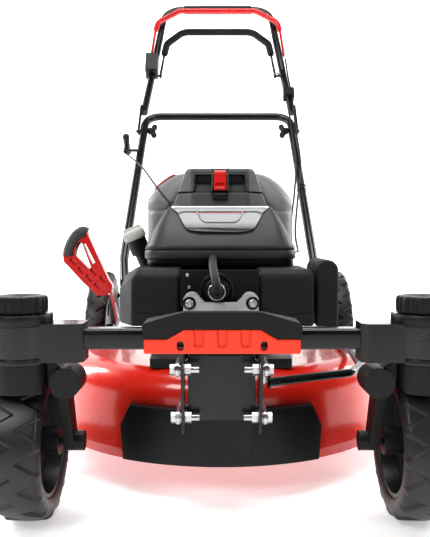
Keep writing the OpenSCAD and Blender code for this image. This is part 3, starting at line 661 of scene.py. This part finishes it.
def add_knob(side):
    node = f"lock_knob_{side}"
    low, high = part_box(node)
    centre = Vector(((low.x + high.x) / 2, (low.y + high.y) / 2, 0))
    foot, top = low.z / MM, high.z / MM
    profile = [(foot + 0.2, 14), (foot + 0.2, 30), (foot + 1.5, 31.2)]
    profile += [(foot + 2.5 + i * 3.2, 31.4) for i in range(6)]
    crown = ((1.6, 30.6), (0.5, 28.8), (0.1, 26), (0.8, 23.5), (1.6, 20), (1.8, 0.5))
    profile += [(top - down, r) for down, r in crown]

    def ribs(angle, index, along, r):
        lift = 1.6 * min(1.0, 3 * max(0.0, cos(22 * angle))) if 2 <= index <= 9 else 0
        return along, r + lift - (0.6 if index in (3, 8) else 0)

    put(lathe(node + "_ribbed", profile, centre, "z", "black_plastic", 264, ribs), node)


def add_collar(side):
    """The rolled rim and the lower ring of a front wheel's swivel housing."""
    swivel = JOINT_AT[f"caster_swivel_{side}"]
    centre = (swivel.x, swivel.y, 0)
    top, barrel, lip = 273.6, 36.2, 39.2
    rim = [(top - 14, barrel), (top - 13, lip - 0.6), (top - 1.2, lip), (top, lip - 0.8), (top, barrel)]
    ring = [(216.5, barrel), (217.5, 37.8), (221, 37.8), (222, barrel)]
    for name, profile in (("swivel_rim", rim), ("swivel_ring", ring)):
        piece = lathe(f"{name}_{side}", profile, centre, "z", "black_plastic")
        detail(piece, "black_plastic", "front_carriage")


# ---------- engine ----------

COWL_HALF, COWL_FRONT, COWL_BACK, COWL_CORNER = 126, -125, 141, 40
COWL_TOP_HALF, COWL_TOP_FRONT, COWL_TOP_CORNER = 88, -60, 9
COWL_FOOT, COWL_TOP, COWL_BULGE = 347, 419, 5
DOME_HALF, DOME_FRONT, DOME_BACK, DOME_CORNER = 132, -11, 153, 45
HUMP_FOOT, HUMP_TOP = (82, -60, 40), (58, -32, 34)
PLUG_AT = (-0.006, 0, 0.287)


def cup(name, outer, inner, material):
    """A shell open below, from rings that rise on the outside and on the inside."""
    return loft(name, list(reversed(outer)) + inner, material)


def inset_ring(half, front, back, corner, inset, z):
    return rounded_ring(half - inset, front + inset, back - inset, corner - inset, z)


def cowl_hoop(name, levels, material):
    """A band round the cowl's foot, from (height, inset) levels round its section."""
    rings = [inset_ring(COWL_HALF, COWL_FRONT, COWL_BACK, COWL_CORNER, inset, z) for z, inset in levels]
    return loft(name, rings, material, True)


def cowl_rings(inset):
    """The cowl's front part, up to its flat top, a little in from the surface."""
    foot = (COWL_HALF, COWL_FRONT, COWL_CORNER, COWL_FOOT)
    top = (COWL_TOP_HALF, COWL_TOP_FRONT, COWL_TOP_CORNER, COWL_TOP - inset)
    back = DOME_FRONT - 0.6 - inset
    rings = []
    for t, shrink in [(i / 10, 0) for i in range(10)] + [(0.97, 0), (0.99, 1.2), (1.0, 3.2)]:
        hw, front, corner, z = blend_values(foot, top, t)
        grow, bulge = shrink + inset, COWL_BULGE * sin(pi * t)
        round_r = max(corner - inset, COWL_TOP_CORNER)
        rings.append(rounded_ring(hw - grow + 0.4 * bulge, front + grow - bulge, back, round_r, z, 6))
    return rings


def add_cowl():
    front = cup("cowl_front", cowl_rings(0), cowl_rings(3.5), "cowl_plastic")
    behind = [(-90, 330), (90, 330), (90, 413), (-90, 413)]
    cut(front, [prism("cutter", behind, (-22, 5), "y", "cowl_plastic")])
    outside = ((330.6, 2.6), (331.2, 0.8), (332.4, 0), (343, 0), (345, 0.7), (346.6, 2.4))
    inside = ((346.6, 4), (330.6, 4))
    band = cowl_hoop("cowl_band", outside + inside, "cowl_plastic")
    put(front, "engine_cowl")
    detail(band, "cowl_plastic")
    # The lip under the band is the cowl's own plastic in shadow; giving it black plastic is painted shade.
    edge = ((320.4, 4.4), (330, 3.6), (332, 3.6), (332, 7), (319.8, 7), (319.8, 5))
    detail(cowl_hoop("cowl_lip_painted_shade", edge, "black_plastic"), "black_plastic")


def dome_rings(inset):
    """The dome, with a seam line round its outside, a little in from the surface."""
    rings = []
    levels = [(z, 0) for z in (347.6, 352, 380, 405)]
    if not inset:
        levels += [(413, 0), (413.4, 1.3), (415, 1.3), (415.4, 0)]
    for z, groove in levels + [(430, 0)]:
        rings.append(inset_ring(DOME_HALF, DOME_FRONT, DOME_BACK, DOME_CORNER, inset + groove, z))
    shoulder = ((437, 130, -9, 151, 44), (444, 124.5, -5.4, 147.5, 42), (452, 119, -0.8, 144, 41),
                (460, 113, 4, 140, 40), (466, 106, 8, 134, 37), (472, 98, 12.2, 128, 34),
                (477, 90, 16, 122.5, 32), (480.4, 82, 20, 118, 30), (481.7, 76, 24, 114, 27),
                (482, 68, 29, 109, 24))
    for z, hw, y0, y1, r in shoulder:
        rings.append(rounded_ring(hw - inset, y0 + inset, y1 - inset, r, z - inset))
    return rings


def hump_ring(z, grow=0.0):
    """The hump at height z: a flat front between two creases, and slanted flanks."""
    hw, y0, y1 = blend_values(HUMP_FOOT, HUMP_TOP, (z - 420) / 66)
    hw, y0, y1, flat = hw + grow, y0 - grow, y1 + grow, 48 + 0.4 * grow
    back = y0 + 3 + 0.85 * (hw - flat)
    half = [(flat - 1.5, y0), (flat + 1.5, y0 + 0.6), (hw - 2, back - 3), (hw, back), (hw, y1 - 9),
            (hw - 3, y1 - 3), (hw - 9, y1)]
    return [mm(x, y, z) for x, y in half] + [mm(-x, y, z) for x, y in reversed(half)]


def hump_loft(name, levels):
    """A skin over hump rings, from (height, grow) levels."""
    return loft(name, [hump_ring(z, grow) for z, grow in levels], "cowl_plastic")


def add_dome():
    dome = cup("dome", dome_rings(0), dome_rings(4), "dome_plastic")
    pocket = hump_loft("pocket", ((419, -5), (500, -5)))
    front = [(-92, 340), (92, 340), (92, 419), (-92, 419)]
    hinge_gap = [(29, 470), (48, 470), (48, 500), (29, 500)]
    cut(dome, [pocket, prism("front", front, (-30, 20), "y", "dome_plastic"),
               prism("hinge_gap", hinge_gap, (-46, 46), "x", "dome_plastic")])
    put(dome, "engine_dome")
    skirt = hump_loft("hump_skirt", ((419.6, 0.4), (421, 0.8), (438, 0.3), (441.6, 0), (443, -1.4)))
    skirt.data.shade_flat()
    detail(round_edges(skirt, 0.0012, 3, 20), "cowl_plastic")
    ears = []
    outline = [(38, 474), (56, 474), (56, 480), (50, 484), (40, 484.4), (38, 482)]
    top = JOINT_AT["hatch_open"]
    for side in (-1, 1):
        for x in (16, 40.5):
            ear = prism("ear", outline, sorted((side * x, side * (x + 3.5))), "x", "dome_plastic")
            ears.append(round_edges(ear, 0.0008, 2))
        line = [Vector((side * x * MM, top.y, top.z)) for x in (17, 25, 35, 43)]
        ears.append(tube("pin", line, 0.002, "dome_plastic", 16))
    detail(join("lid_hinge_ears", ears), "dome_plastic")


def add_dome_trim():
    """A red strip over the dome's left shoulder, beside the lid."""
    section = [(119, 452.4), (113, 460.4), (106, 466.4), (98, 472.4), (90, 477.4), (82, 480.8)]
    edge = ((-1, 32), (0.9, 33), (0.9, 38), (-1, 39))
    rings = [[mm(-x - a, y, z + a) for a, y in edge] for x, z in section]
    detail(loft("trim_strip_left", rings, "red_plastic"), "red_plastic")


def lid_cutters():
    """What is taken out of the lid: its underside, its hollow, the deep recess and the latch slot."""
    below = [(-100, 400), (60, 400), (60, 483), (19.4, 483), (2.8, 460), (-6.2, 444), (-100, 444)]
    under = prism("under", below, (-100, 100), "x", "cowl_plastic")
    hollow = hump_loft("hollow", ((440, -4), (481, -4)))
    ahead = corners((-52, 52), (-100, -33), (430, 477)) + corners((-44, 44), (-17,), (456, 477))
    cut(hollow, [block("walls", ahead, "cowl_plastic", 0)])
    inner = corners((-58, 58), (-90,), (456, 477)) + corners((-38, 38), (-20,), (460, 473.6))
    deep = block("deep", inner, "cowl_plastic", 1.5)
    slope = corners((-54, 54), (-90,), (430, 459)) + corners((-45, 45), (-45,), (438,))
    ramp = block("ramp", slope + corners((-41, 41), (-35,), (459,)), "cowl_plastic", 0)
    return [under, hollow, deep, ramp, box("slot", (-12.2, 12.2), (-90, -21), (430, 500))]


def add_lid():
    levels = ((444.2, 0.2), (445, 1), (480.5, 1), (484.6, -0.4), (485.6, -2.6), (486, -6))
    lid = hump_loft("lid", levels)
    lid.data.shade_flat()
    round_edges(lid, 0.0014, 3, 20)
    cut(lid, lid_cutters())
    parts = [round_edges(lid, 0.0007, 2, 40)]
    cheek = [(-56, 445), (-34, 445), (-34, 460), (-18, 474), (-20, 485.6), (-34, 486), (-43, 472)]
    knuckle = [(26, 477), (40, 475.6), (44, 476.6), (46.4, 480), (44, 483.6), (40, 484.6), (26, 485)]
    for side in (-1, 1):
        for name, outline, span, material in (("frame", cheek, (side * 12, side * 15), "black_plastic"),
                                              ("knuckle", knuckle, (side * 20, side * 40), "cowl_plastic")):
            parts.append(round_edges(prism(name, outline, sorted(span), "x", material), 0.001, 2))
    put(join("lid_shell", parts), "hatch_lid")


def add_latch():
    """The red latch with its finger dent, and the seat below it."""
    outline = [(-55.4, 452), (-56, 448), (-53, 445.4), (-48, 447), (-44, 455), (-30, 472), (-28.6, 478),
               (-30, 481.4), (-34, 482.6), (-39.4, 480)]
    latch = prism("latch", outline, (-10.9, 10.9), "x", "red_plastic")
    round_edges(latch, 0.0018, 4, 20)
    hollow = ((-66, 459), (-66, 452), (-53, 451), (-48, 459))
    cut(latch, [block("dent", [(x, y, z) for x in (-8, 8) for y, z in hollow], "red_plastic", 1)])
    put(round_edges(latch, 0.0005, 2, 45), "hatch_latch")
    outline = [(-61, 430), (-48, 430), (-48, 442.4), (-54, 443), (-60, 440)]
    seat = prism("latch_seat", outline, (-12.4, 12.4), "x", "black_plastic")
    detail(round_edges(seat, 0.0015), "black_plastic")


def plate_on_slope(name, outline, lift, thick, material):
    """A plate on the cowl's bulged front slope. Points are (x, distance down the slope) in mm."""
    top = Vector((0, COWL_TOP_FRONT, COWL_TOP))
    slope = Vector((0, COWL_FRONT, COWL_FOOT)) - top
    down = slope.normalized()
    out = Vector((0, down.z, -down.y))
    verts = []
    for h in (lift, lift + thick):
        for x, s in outline:
            bow = COWL_BULGE * sin(pi * min(1.0, s / slope.length))
            verts.append((Vector((x, 0, 0)) + top + down * s + out * (h + bow)) * MM)
    return slab_mesh(name, verts, material)


def add_badge():
    """The silver plate, its dark foot and its printed lines."""
    edge = both([(82, 1.5), (83, 4), (80, 9), (71.5, 20), (66, 36), (58, 54), (47, 62), (30, 66)])
    plate = plate_on_slope("badge_plate", edge, 0.2, 1.8, badge_finish())
    put(round_edges(plate, 0.0006, 2), "cowl_badge")
    foot = both([(56.6, 56), (55, 58.4), (46, 62.6), (30, 65.6)], 1)
    stripe = both([(62, 16.5), (71, 20), (68.5, 24), (61, 19.6)], 1)
    red_line = both([(44, 19.9), (43, 21.6)], 1)
    hair_line = both([(76, 6.2), (78, 9), (72, 7.6)], 1)
    frame_line = both([(24, 41), (31, 35), (36, 22), (38.2, 8), (40.4, 8), (38, 23), (32.4, 37),
                       (25, 43.6)], 5)
    for name, outline, lift, thick, material in (
            ("badge_foot", foot, 2.0, 0.3, "frame_paint"),
            ("badge_stripe", stripe, 2.0, 0.35, "frame_paint"),
            ("badge_red_line", red_line, 2.0, 0.3, "red_plastic"),
            ("badge_hair_line", hair_line, 2.0, 0.25, "frame_paint"),
            ("badge_outline", frame_line, 2.35, 0.4, "pale_plastic")):
        detail(plate_on_slope(name, outline, lift, thick, material), material)


def badge_finish():
    """Brushed silver, bright along its top edge and dark at its foot."""
    t = Tree("badge_silver")
    z = t.position("Z")
    base = t.mix(t.remap(z, 0.376, 0.392, 1, 0), (0.3, 0.305, 0.31), (0.016, 0.009, 0.005))
    base = t.mix(t.remap(z, 0.4155, 0.417, 0, 1), base, (0.8, 0.8, 0.8))
    streaks = t.noise(900, 2.0, 0.5, t.stretched((0.05, 1, 1)))
    fill(t.shader, Metallic=0.2, Specular_IOR_Level=0.3)
    return t.feed(Base_Color=base, Roughness=t.remap(streaks, 0.3, 0.7, 0.3, 0.42),
                  Normal=t.bump(streaks, 0.2, 0.0001, t.soft_edges(0.0008)))


def hollow_cover(name, points, scoop, inside):
    """A cover beside the engine, with a scoop in its front and a hollow inside."""
    cutters = [block("scoop", scoop, "black_plastic", 1), box("inside", *inside)]
    return block(name, points, "cover_plastic", 5, cutters)


def add_air_box():
    foot = ((-134, -205), (-62, -205), (-62, -60), (-158, -60), (-158, -160))
    shoulder = ((-132, -204), (-62, -204), (-148, -160), (-148, -60))
    top = ((-126, -192), (-62, -192), (-62, -60), (-134, -60), (-134, -150))
    levels = ((232, foot), (286, foot), (308, shoulder), (318.5, top))
    scoop = [(-130, -212, 252), (-118, -212, 246), (-84, -212, 243), (-84, -203.4, 250), (-118, -203, 253),
             (-130, -204, 254.5), (-84, -212, 252), (-100, -212, 256)]
    points = [(x, y, z) for z, outline in levels for x, y in outline]
    inside = ((-128, -68), (-186, -40), (222, 300))
    put(hollow_cover("air_box_shell", points, scoop, inside), "air_box")


def add_muffler_cover():
    """The right cover, the round-topped wing beside it and the neck between them."""
    points = corners((58, 141), (-205, -60), (232, 300)) + corners((58, 141), (-204, -60), (309,))
    points += corners((58, 136), (-194, -60), (318.5,))
    scoop = [(96, -212, 252), (138, -212, 255), (146, -212, 246), (96, -212, 246), (100, -203.4, 250),
             (138, -203, 253)]
    right = hollow_cover("muffler_shell", points, scoop, ((64, 134), (-190, -40), (222, 300)))
    wing_x, wing_z, wing_r = 163, 315, 17
    angles = [radians(a) for a in range(0, 181, 12)]
    arch = [(wing_x + wing_r * cos(a), wing_z + wing_r * sin(a)) for a in angles]
    outer = prism("muffler_wing", [(180, 230)] + arch + [(146, 230)], (-190, -70), "y", "cover_plastic")
    round_edges(outer, 0.004, 4)
    cut(outer, [box("inside", (151, 175), (-183, -60), (220, 300))])
    neck = box("muffler_neck", (137, 149), (-150, -110), (250, 290), 2)
    put(join("muffler_cover", [right, outer, neck]), "muffler_guard")


def add_turned(name, profile, centre, material, around):
    """A detail on the engine, turned about an axis along y."""
    detail(lathe(name, profile, centre, "y", material, around), material)


def add_head_shroud():
    """The black panel and cooling ring behind the spark plug, and the bolts beside it."""
    panel = box("shroud_panel", (-60.5, 56.5), (-211.6, -208.6), (262, 318), 1, "crankcase")
    head = 2.6
    screws = [box("screw", (x - head, x + head), (-214, -210), (z - head, z + head), 1.6, "zinc")
              for x, z in ((-50, 310), (-47, 292))]
    profile = [(-209, 12), (-215, 12), (-217.5, 14), (-217.5, 17), (-214, 18.5), (-214, 21), (-217, 22.5),
               (-217, 25), (-214, 27.5), (-209, 27.5)]
    ring = lathe("shroud_ring", profile, PLUG_AT, "y", "crankcase", 72)
    back = box("blower_housing", (-116, 116), (-76, -70), (236, 344), 2, "crankcase")
    detail(join("head_shroud", [panel, ring, back]), "black_plastic")
    detail(join("shroud_screws", screws), "zinc")
    profile = [(-230, 9.4), (-236, 9.6), (-238.4, 10.6), (-238.4, 12), (-236, 13.4), (-230, 13.6)]
    add_turned("plug_seat", profile, PLUG_AT, "zinc", 36)
    seat = [(-240.2, 3), (-241, 5.6), (-241.2, 8.4), (-240.8, 9.6), (-240.1, 9.8)]
    bolt = [(-241, 6), (-245.4, 6), (-246.4, 5), (-246.4, 3), (-243, 2.6), (-243, 0.3), (-241, 0.3)]
    for side, name in ((-1, "left"), (1, "right")):
        centre = (side * 0.046, 0, 0.2707)
        add_turned(f"bolt_seat_{name}", seat, centre, "frame_paint", 40)
        add_turned(f"bolt_head_{name}", bolt, centre, "zinc", 40)


def add_plug_boot():
    """The boot over the spark plug, with its lead up to the cowl."""
    lead = ((-5.6, -243, 285.6), (-6, -250, 291), (-7, -250, 300), (-10, -236, 314), (-12, -208, 326),
            (-12, -165, 331), (-12, -130, 334))
    line = smooth_path(lead)
    boot = tube("boot", line, lambda t: 0.0064 + 0.0022 * max(0.0, 1 - 3.4 * t), "rubber", 28)
    profile = [(-252, 0.5), (-252, 8), (-250.6, 9), (-246, 9), (-244.6, 8.2), (-232, 8.2), (-230, 7.4),
               (-230, 5)]
    collar = lathe("boot_collar", profile, PLUG_AT, "y", "rubber", 48)
    put(join("plug_boot_moulded", [boot, collar]), "plug_boot")


def add_filler_cap():
    """A pale cap with a ribbed rim and a finger bar on its sloped axis."""
    joint = next(j for j in RECORD["behaviour"]["joints"] if j["name"] == "oil_cap_turn")
    axis, tip = Vector(joint["axis"]).normalized(), Vector(joint["pos_m"])
    profile = [(-7.4, 5.2), (-7.4, 18.6), (-6, 19.4), (-2, 19.2), (3, 19.2), (6, 18.6), (8.6, 16.6),
               (10.2, 13), (11, 8), (11.4, 0.4)]

    def ribs(angle, index, along, r):
        return along, r + (0.5 * cos(28 * angle) if 2 <= index <= 5 else 0)

    cap = lathe("cap_top", profile, (0, 0, 0), "z", "pale_plastic", 168, ribs)
    bar = box("cap_bar", (-16, 16), (-3.4, 3.4), (8, 14.5), 2, "pale_plastic")
    stick = [(-55, 0.3), (-55, 4.2), (-54, 5), (-7, 5), (-7, 0.3)]
    dip = lathe("cap_stick", stick, (0, 0, 0), "z", "pale_plastic", 24)
    made = join("filler_cap_shell", [cap, bar, dip])
    turn = axis.to_track_quat("Z", "X").to_matrix().to_4x4()
    made.data.transform(Matrix.Translation(tip) @ turn)
    put(made, "oil_cap")


# ---------- front ----------


def add_crossbar_cover():
    """The orange cover with three flutes and two holes."""
    outline = both([(94, 228), (94, 245.4), (66, 245.4), (46, 256.9)], 1)
    cover = prism("cover_face", outline, (-427, -412.2), "y", "orange_plastic")
    depth = (-435, -423.5)
    cutters = []
    for x in (-28, 0, 28):
        flute = corners((x - 5.6, x + 5.6), depth, (236,)) + corners((x - 6.6, x + 6.6), depth, (262,))
        cutters.append(block("flute", flute, "orange_plastic", 2.4))
    for x in (-50, 50):
        cutters.append(box("hole", (x - 4.2, x + 4.2), (-440, -400), (232, 243.5), 3.9))
    round_edges(cover, 0.0028, 4)
    cut(cover, cutters)
    put(round_edges(cover, 0.0007, 2, 45), "crossbar_cover")


def add_lever():
    """The height lever: a pierced loop with six pits, its arm and its hub."""
    outer = [(-214, 262), (-224, 250), (-243, 248), (-272, 275), (-300, 306), (-310, 316), (-312, 330),
             (-303, 354), (-290, 376), (-276, 384), (-264, 375), (-222, 282), (-214, 270)]
    loop = prism("lever_loop", outer, (140, 160), "y", "red_plastic")
    openings = (("hole", [(-288, 331), (-261, 303), (-256, 305), (-275, 357), (-283, 354)]),
                ("slot", [(-271.5, 351), (-267, 353), (-248, 315), (-253, 312)]))
    through = [prism(name, outline, (120, 180), "y", "red_plastic") for name, outline in openings]
    pits = []
    for x, z in ((-291, 317), (-275, 299.6), (-259, 284), (-243, 268.6), (-232, 282), (-250, 297)):
        ends = [(x + a * 5.6 + b * 2.6, z - a * 5.6 + b * 2.6) for a in (-1, 1) for b in (-1, 1)]
        pits.append(block("pit", [(u, y, w) for u, w in ends for y in (130, 143.6)], "red_plastic", 1.6))
    cut(loop, through)
    round_edges(loop, 0.0034, 4, 25)
    cut(loop, pits)
    arm_x = (-220.6, -215.4)
    points = corners(arm_x, (291, 306), (134, 152)) + corners(arm_x, (142, 158), (256, 270))
    arm = block("lever_arm", points, "red_plastic", 1.5)
    pivot = JOINT_AT["height_adjust"]
    profile = [(-221, 8.3), (-221, 13.6), (-219.6, 15), (-207.5, 15), (-206, 13.6), (-206, 8.3)]
    hub = lathe("lever_hub", profile, (0, pivot.y, pivot.z), "x", "red_plastic", 64)
    put(join("lever_body", [loop, arm, hub]), "height_lever")


def add_lever_grip():
    """A grey sleeve with 17 ridges over the loop's top."""
    top = ((-300, 326), (-299.6, 337), (-293.6, 353), (-284, 367), (-274, 373.6), (-265, 371))
    line = smooth_path([(x, 150, z) for x, z in top], 22)

    def ridged(t):
        base = 0.0132 * min(1.0, 12 * t + 0.55, 12 * (1 - t) + 0.55)
        return base + 0.0008 * max(0.0, cos(2 * pi * 17 * t)) ** 0.5

    put(tube("lever_sleeve", line, ridged, "grip_grey", 32), "lever_grip")


# ---------- handle ----------


def add_top_grip():
    low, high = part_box("handle_grip")
    centre = Vector((0, (low.y + high.y) / 2, (low.z + high.z) / 2))
    half, r = high.x / MM, (high.z - low.z) / 2 / MM
    bore, span = 11.1, 2 * half - 4
    end = [(half, bore), (half, r - 1.6), (half - 0.6, r - 0.5), (half - 2, r)]
    belly = [(half - 2 - span * i / 24, r + 0.25 * sin(pi * i / 24)) for i in range(1, 24)]
    profile = end + belly + [(-x, y) for x, y in reversed(end)]
    piece = put(lathe("foam_sleeve", profile, centre, "x", "foam", 64), "handle_grip")


def arc_corner(a, b, c, radius, steps=8):
    """Points of a round bend at b."""
    into, out = (b - a).normalized(), (c - b).normalized()
    turn = into.angle(out)
    reach = radius * tan(turn / 2)
    start = b - into * reach
    normal = (out - into * out.dot(into)).normalized()
    turns = [turn * i / steps for i in range(steps + 1)]
    return [start + into * radius * sin(a) + normal * radius * (1 - cos(a)) for a in turns]


def bent_line(points, radius, gap=0.006):
    """A line through points with round bends, filled in evenly."""
    pts = [Vector(p) for p in points]
    line = [pts[0]]
    for i in range(1, len(pts) - 1):
        line += arc_corner(pts[i - 1], pts[i], pts[i + 1], radius)
    line.append(pts[-1])
    filled = [line[0]]
    for a, b in zip(line, line[1:]):
        n = max(1, round((b - a).length / gap))
        filled += [a + (b - a) * k / n for k in range(1, n + 1)]
    return filled


def add_drive_bail():
    pin = JOINT_AT["drive_bail_squeeze"]
    angle = radians(49.4)

    def at(s, x):
        return Vector((x, pin.y / MM + s * cos(angle), pin.z / MM + s * sin(angle))) * MM

    line = bent_line([at(s, x) for x, s in both([(174, 112), (168, 170), (116, 238)])], 0.04)

    def round_ended(t):
        return 0.011 * min(1.0, 0.75 + 0.25 * sin(min(1.0, min(t, 1 - t) / 0.012) * pi / 2))

    foam = tube("drive_bail_foam", line, round_ended, "foam", 32)
    put(foam, "drive_bail")
    wire = ((4, 181), (20, 180.2), (60, 177.2), (116, 173.6))
    boss = [(-3, 3.6), (-3, 7.2), (-2.2, 8), (2.2, 8), (3, 7.2), (3, 3.6)]
    wires = []
    for side in (-1, 1):
        wires.append(tube("wire", [at(s, side * x) for s, x in wire], 0.004, "handle_paint", 20))
        wires.append(lathe("boss", boss, (side * 0.181, pin.y, pin.z), "x", "handle_paint", 40))
    detail(join("drive_bail_wires", wires), "handle_paint", "bail_drive")


def add_cable_tie():
    """A strap round the right tube and the cables."""
    fold, _, along, lift = handle_axes()
    tube_x, height, reach = 0.2215, 0.36, 12.2
    centre = fold + along * height + Vector((tube_x, 0, 0))
    angles = [radians(t) for t in range(-100, 101, 20)]
    loop = [(-reach * sin(a), -reach * cos(a)) for a in angles]
    loop += [(-11.5, 19.5), (-4, 21.5), (4, 20.5), (11.5, 12)]
    section = ((-0.5, -2.2), (0.6, -2.2), (0.6, 2.2), (-0.5, 2.2))
    rings = []
    for x, up in loop:
        p = centre + (Vector((x, 0, 0)) + lift * up) * MM
        out = (p - centre - lift * 0.003).normalized()
        rings.append([p + out * a * MM + along * b * MM for a, b in section])
    detail(loft("cable_tie", rings, "black_plastic", True), "black_plastic", "handle_low")


def add_wing_knob(side):
    """Two rounded wings on a hub, pinched where they meet, with the clamping bolt."""
    node = f"wing_knob_{side}"
    sign = -1 if side == "left" else 1
    pin = JOINT_AT["upper_handle_fold"]
    axis = (0, pin.y, pin.z)

    def lobed(angle, index, along, r):
        return sign * along, r + (0.5 * cos(12 * angle) if index in (3, 4) else 0)

    def swell(t):
        return 0.0058 + 0.0026 * sin(pi * min(1, t * 1.1) ** 1.5) * (t < 0.95)

    profile = [(181, 0.4), (181, 7.4), (182.4, 9.4), (190, 10.2), (200, 9.4), (201.5, 8), (201.5, 4)]
    parts = [lathe("hub", profile, axis, "x", "black_plastic", 48, lobed)]
    profile = [(196, 0.4), (196, 4), (234, 4), (234, 8), (236, 7.4), (236, 0.4)]
    bolt = lathe(f"wing_bolt_{side}", [(sign * x, r) for x, r in profile], axis, "x", "zinc", 36)
    reach = ((186.5, 4), (185.5, 9), (184.5, 14), (183.8, 19), (183.5, 23), (183.5, 25.5))
    slant = sin(pi / 4)
    for end in (-slant, slant):
        line = [Vector(axis) + mm(sign * x, end * a, end * a) for x, a in reach]
        parts.append(tube("wing", line, swell, "black_plastic", 24))
    put(join(node + "_moulded", parts), node)
    detail(bolt, "zinc", f"wing_{side}")


def add_starter_grip():
    """A moulded T handle with waisted ends, its stem and the cord below it."""
    _, joint, along, lift = handle_axes()
    guide_x, below_joint, stem_long, half_bar = -0.258, 0.0795, 0.0195, 0.034
    seat = Vector((guide_x, joint.y, joint.z)) - along * below_joint
    middle = seat + along * stem_long
    line = [middle + lift * half_bar * i / 20 for i in range(-20, 21)]

    def waist(t):
        u = abs(2 * t - 1)
        end = sin(min(1.0, (1 - u) / 0.16) * pi / 2)
        return 0.0102 * (0.8 + 0.2 * u * u) * min(1.0, 0.55 + 0.45 * end)

    bar = tube("bar", line, waist, "black_plastic", 24)
    stem_line = [seat + along * stem_long * k / 6 for k in range(7)]
    stem = tube("stem", stem_line, lambda t: 0.0052 - 0.001 * t, "black_plastic", 20)
    put(join("pull_handle", [bar, stem]), "starter_grip")
    cord_long = 0.004
    start = seat - along * cord_long
    cord = tube("grip_cord", [start + (seat - start) * k / 12 for k in range(13)], ROPE_RADIUS, "cord", 10)
    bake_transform(cord)


def add_pieces():
    for side in ("left", "right"):
        for end in ("front", "rear"):
            add_tyre(side, end)
        add_knob(side)
        add_wing_knob(side)
        add_collar(side)
    for add in (add_cowl, add_dome, add_dome_trim, add_lid, add_latch, add_badge, add_air_box,
                add_muffler_cover, add_head_shroud, add_plug_boot, add_filler_cap, add_crossbar_cover,
                add_lever, add_lever_grip, add_top_grip, add_drive_bail, add_cable_tie, add_starter_grip):
        add()


# ---------- build ----------

add_camera()
add_world()
add_lights()
make_finishes()
dress_cad_nodes()
add_cords()
add_pieces()
add_floor()
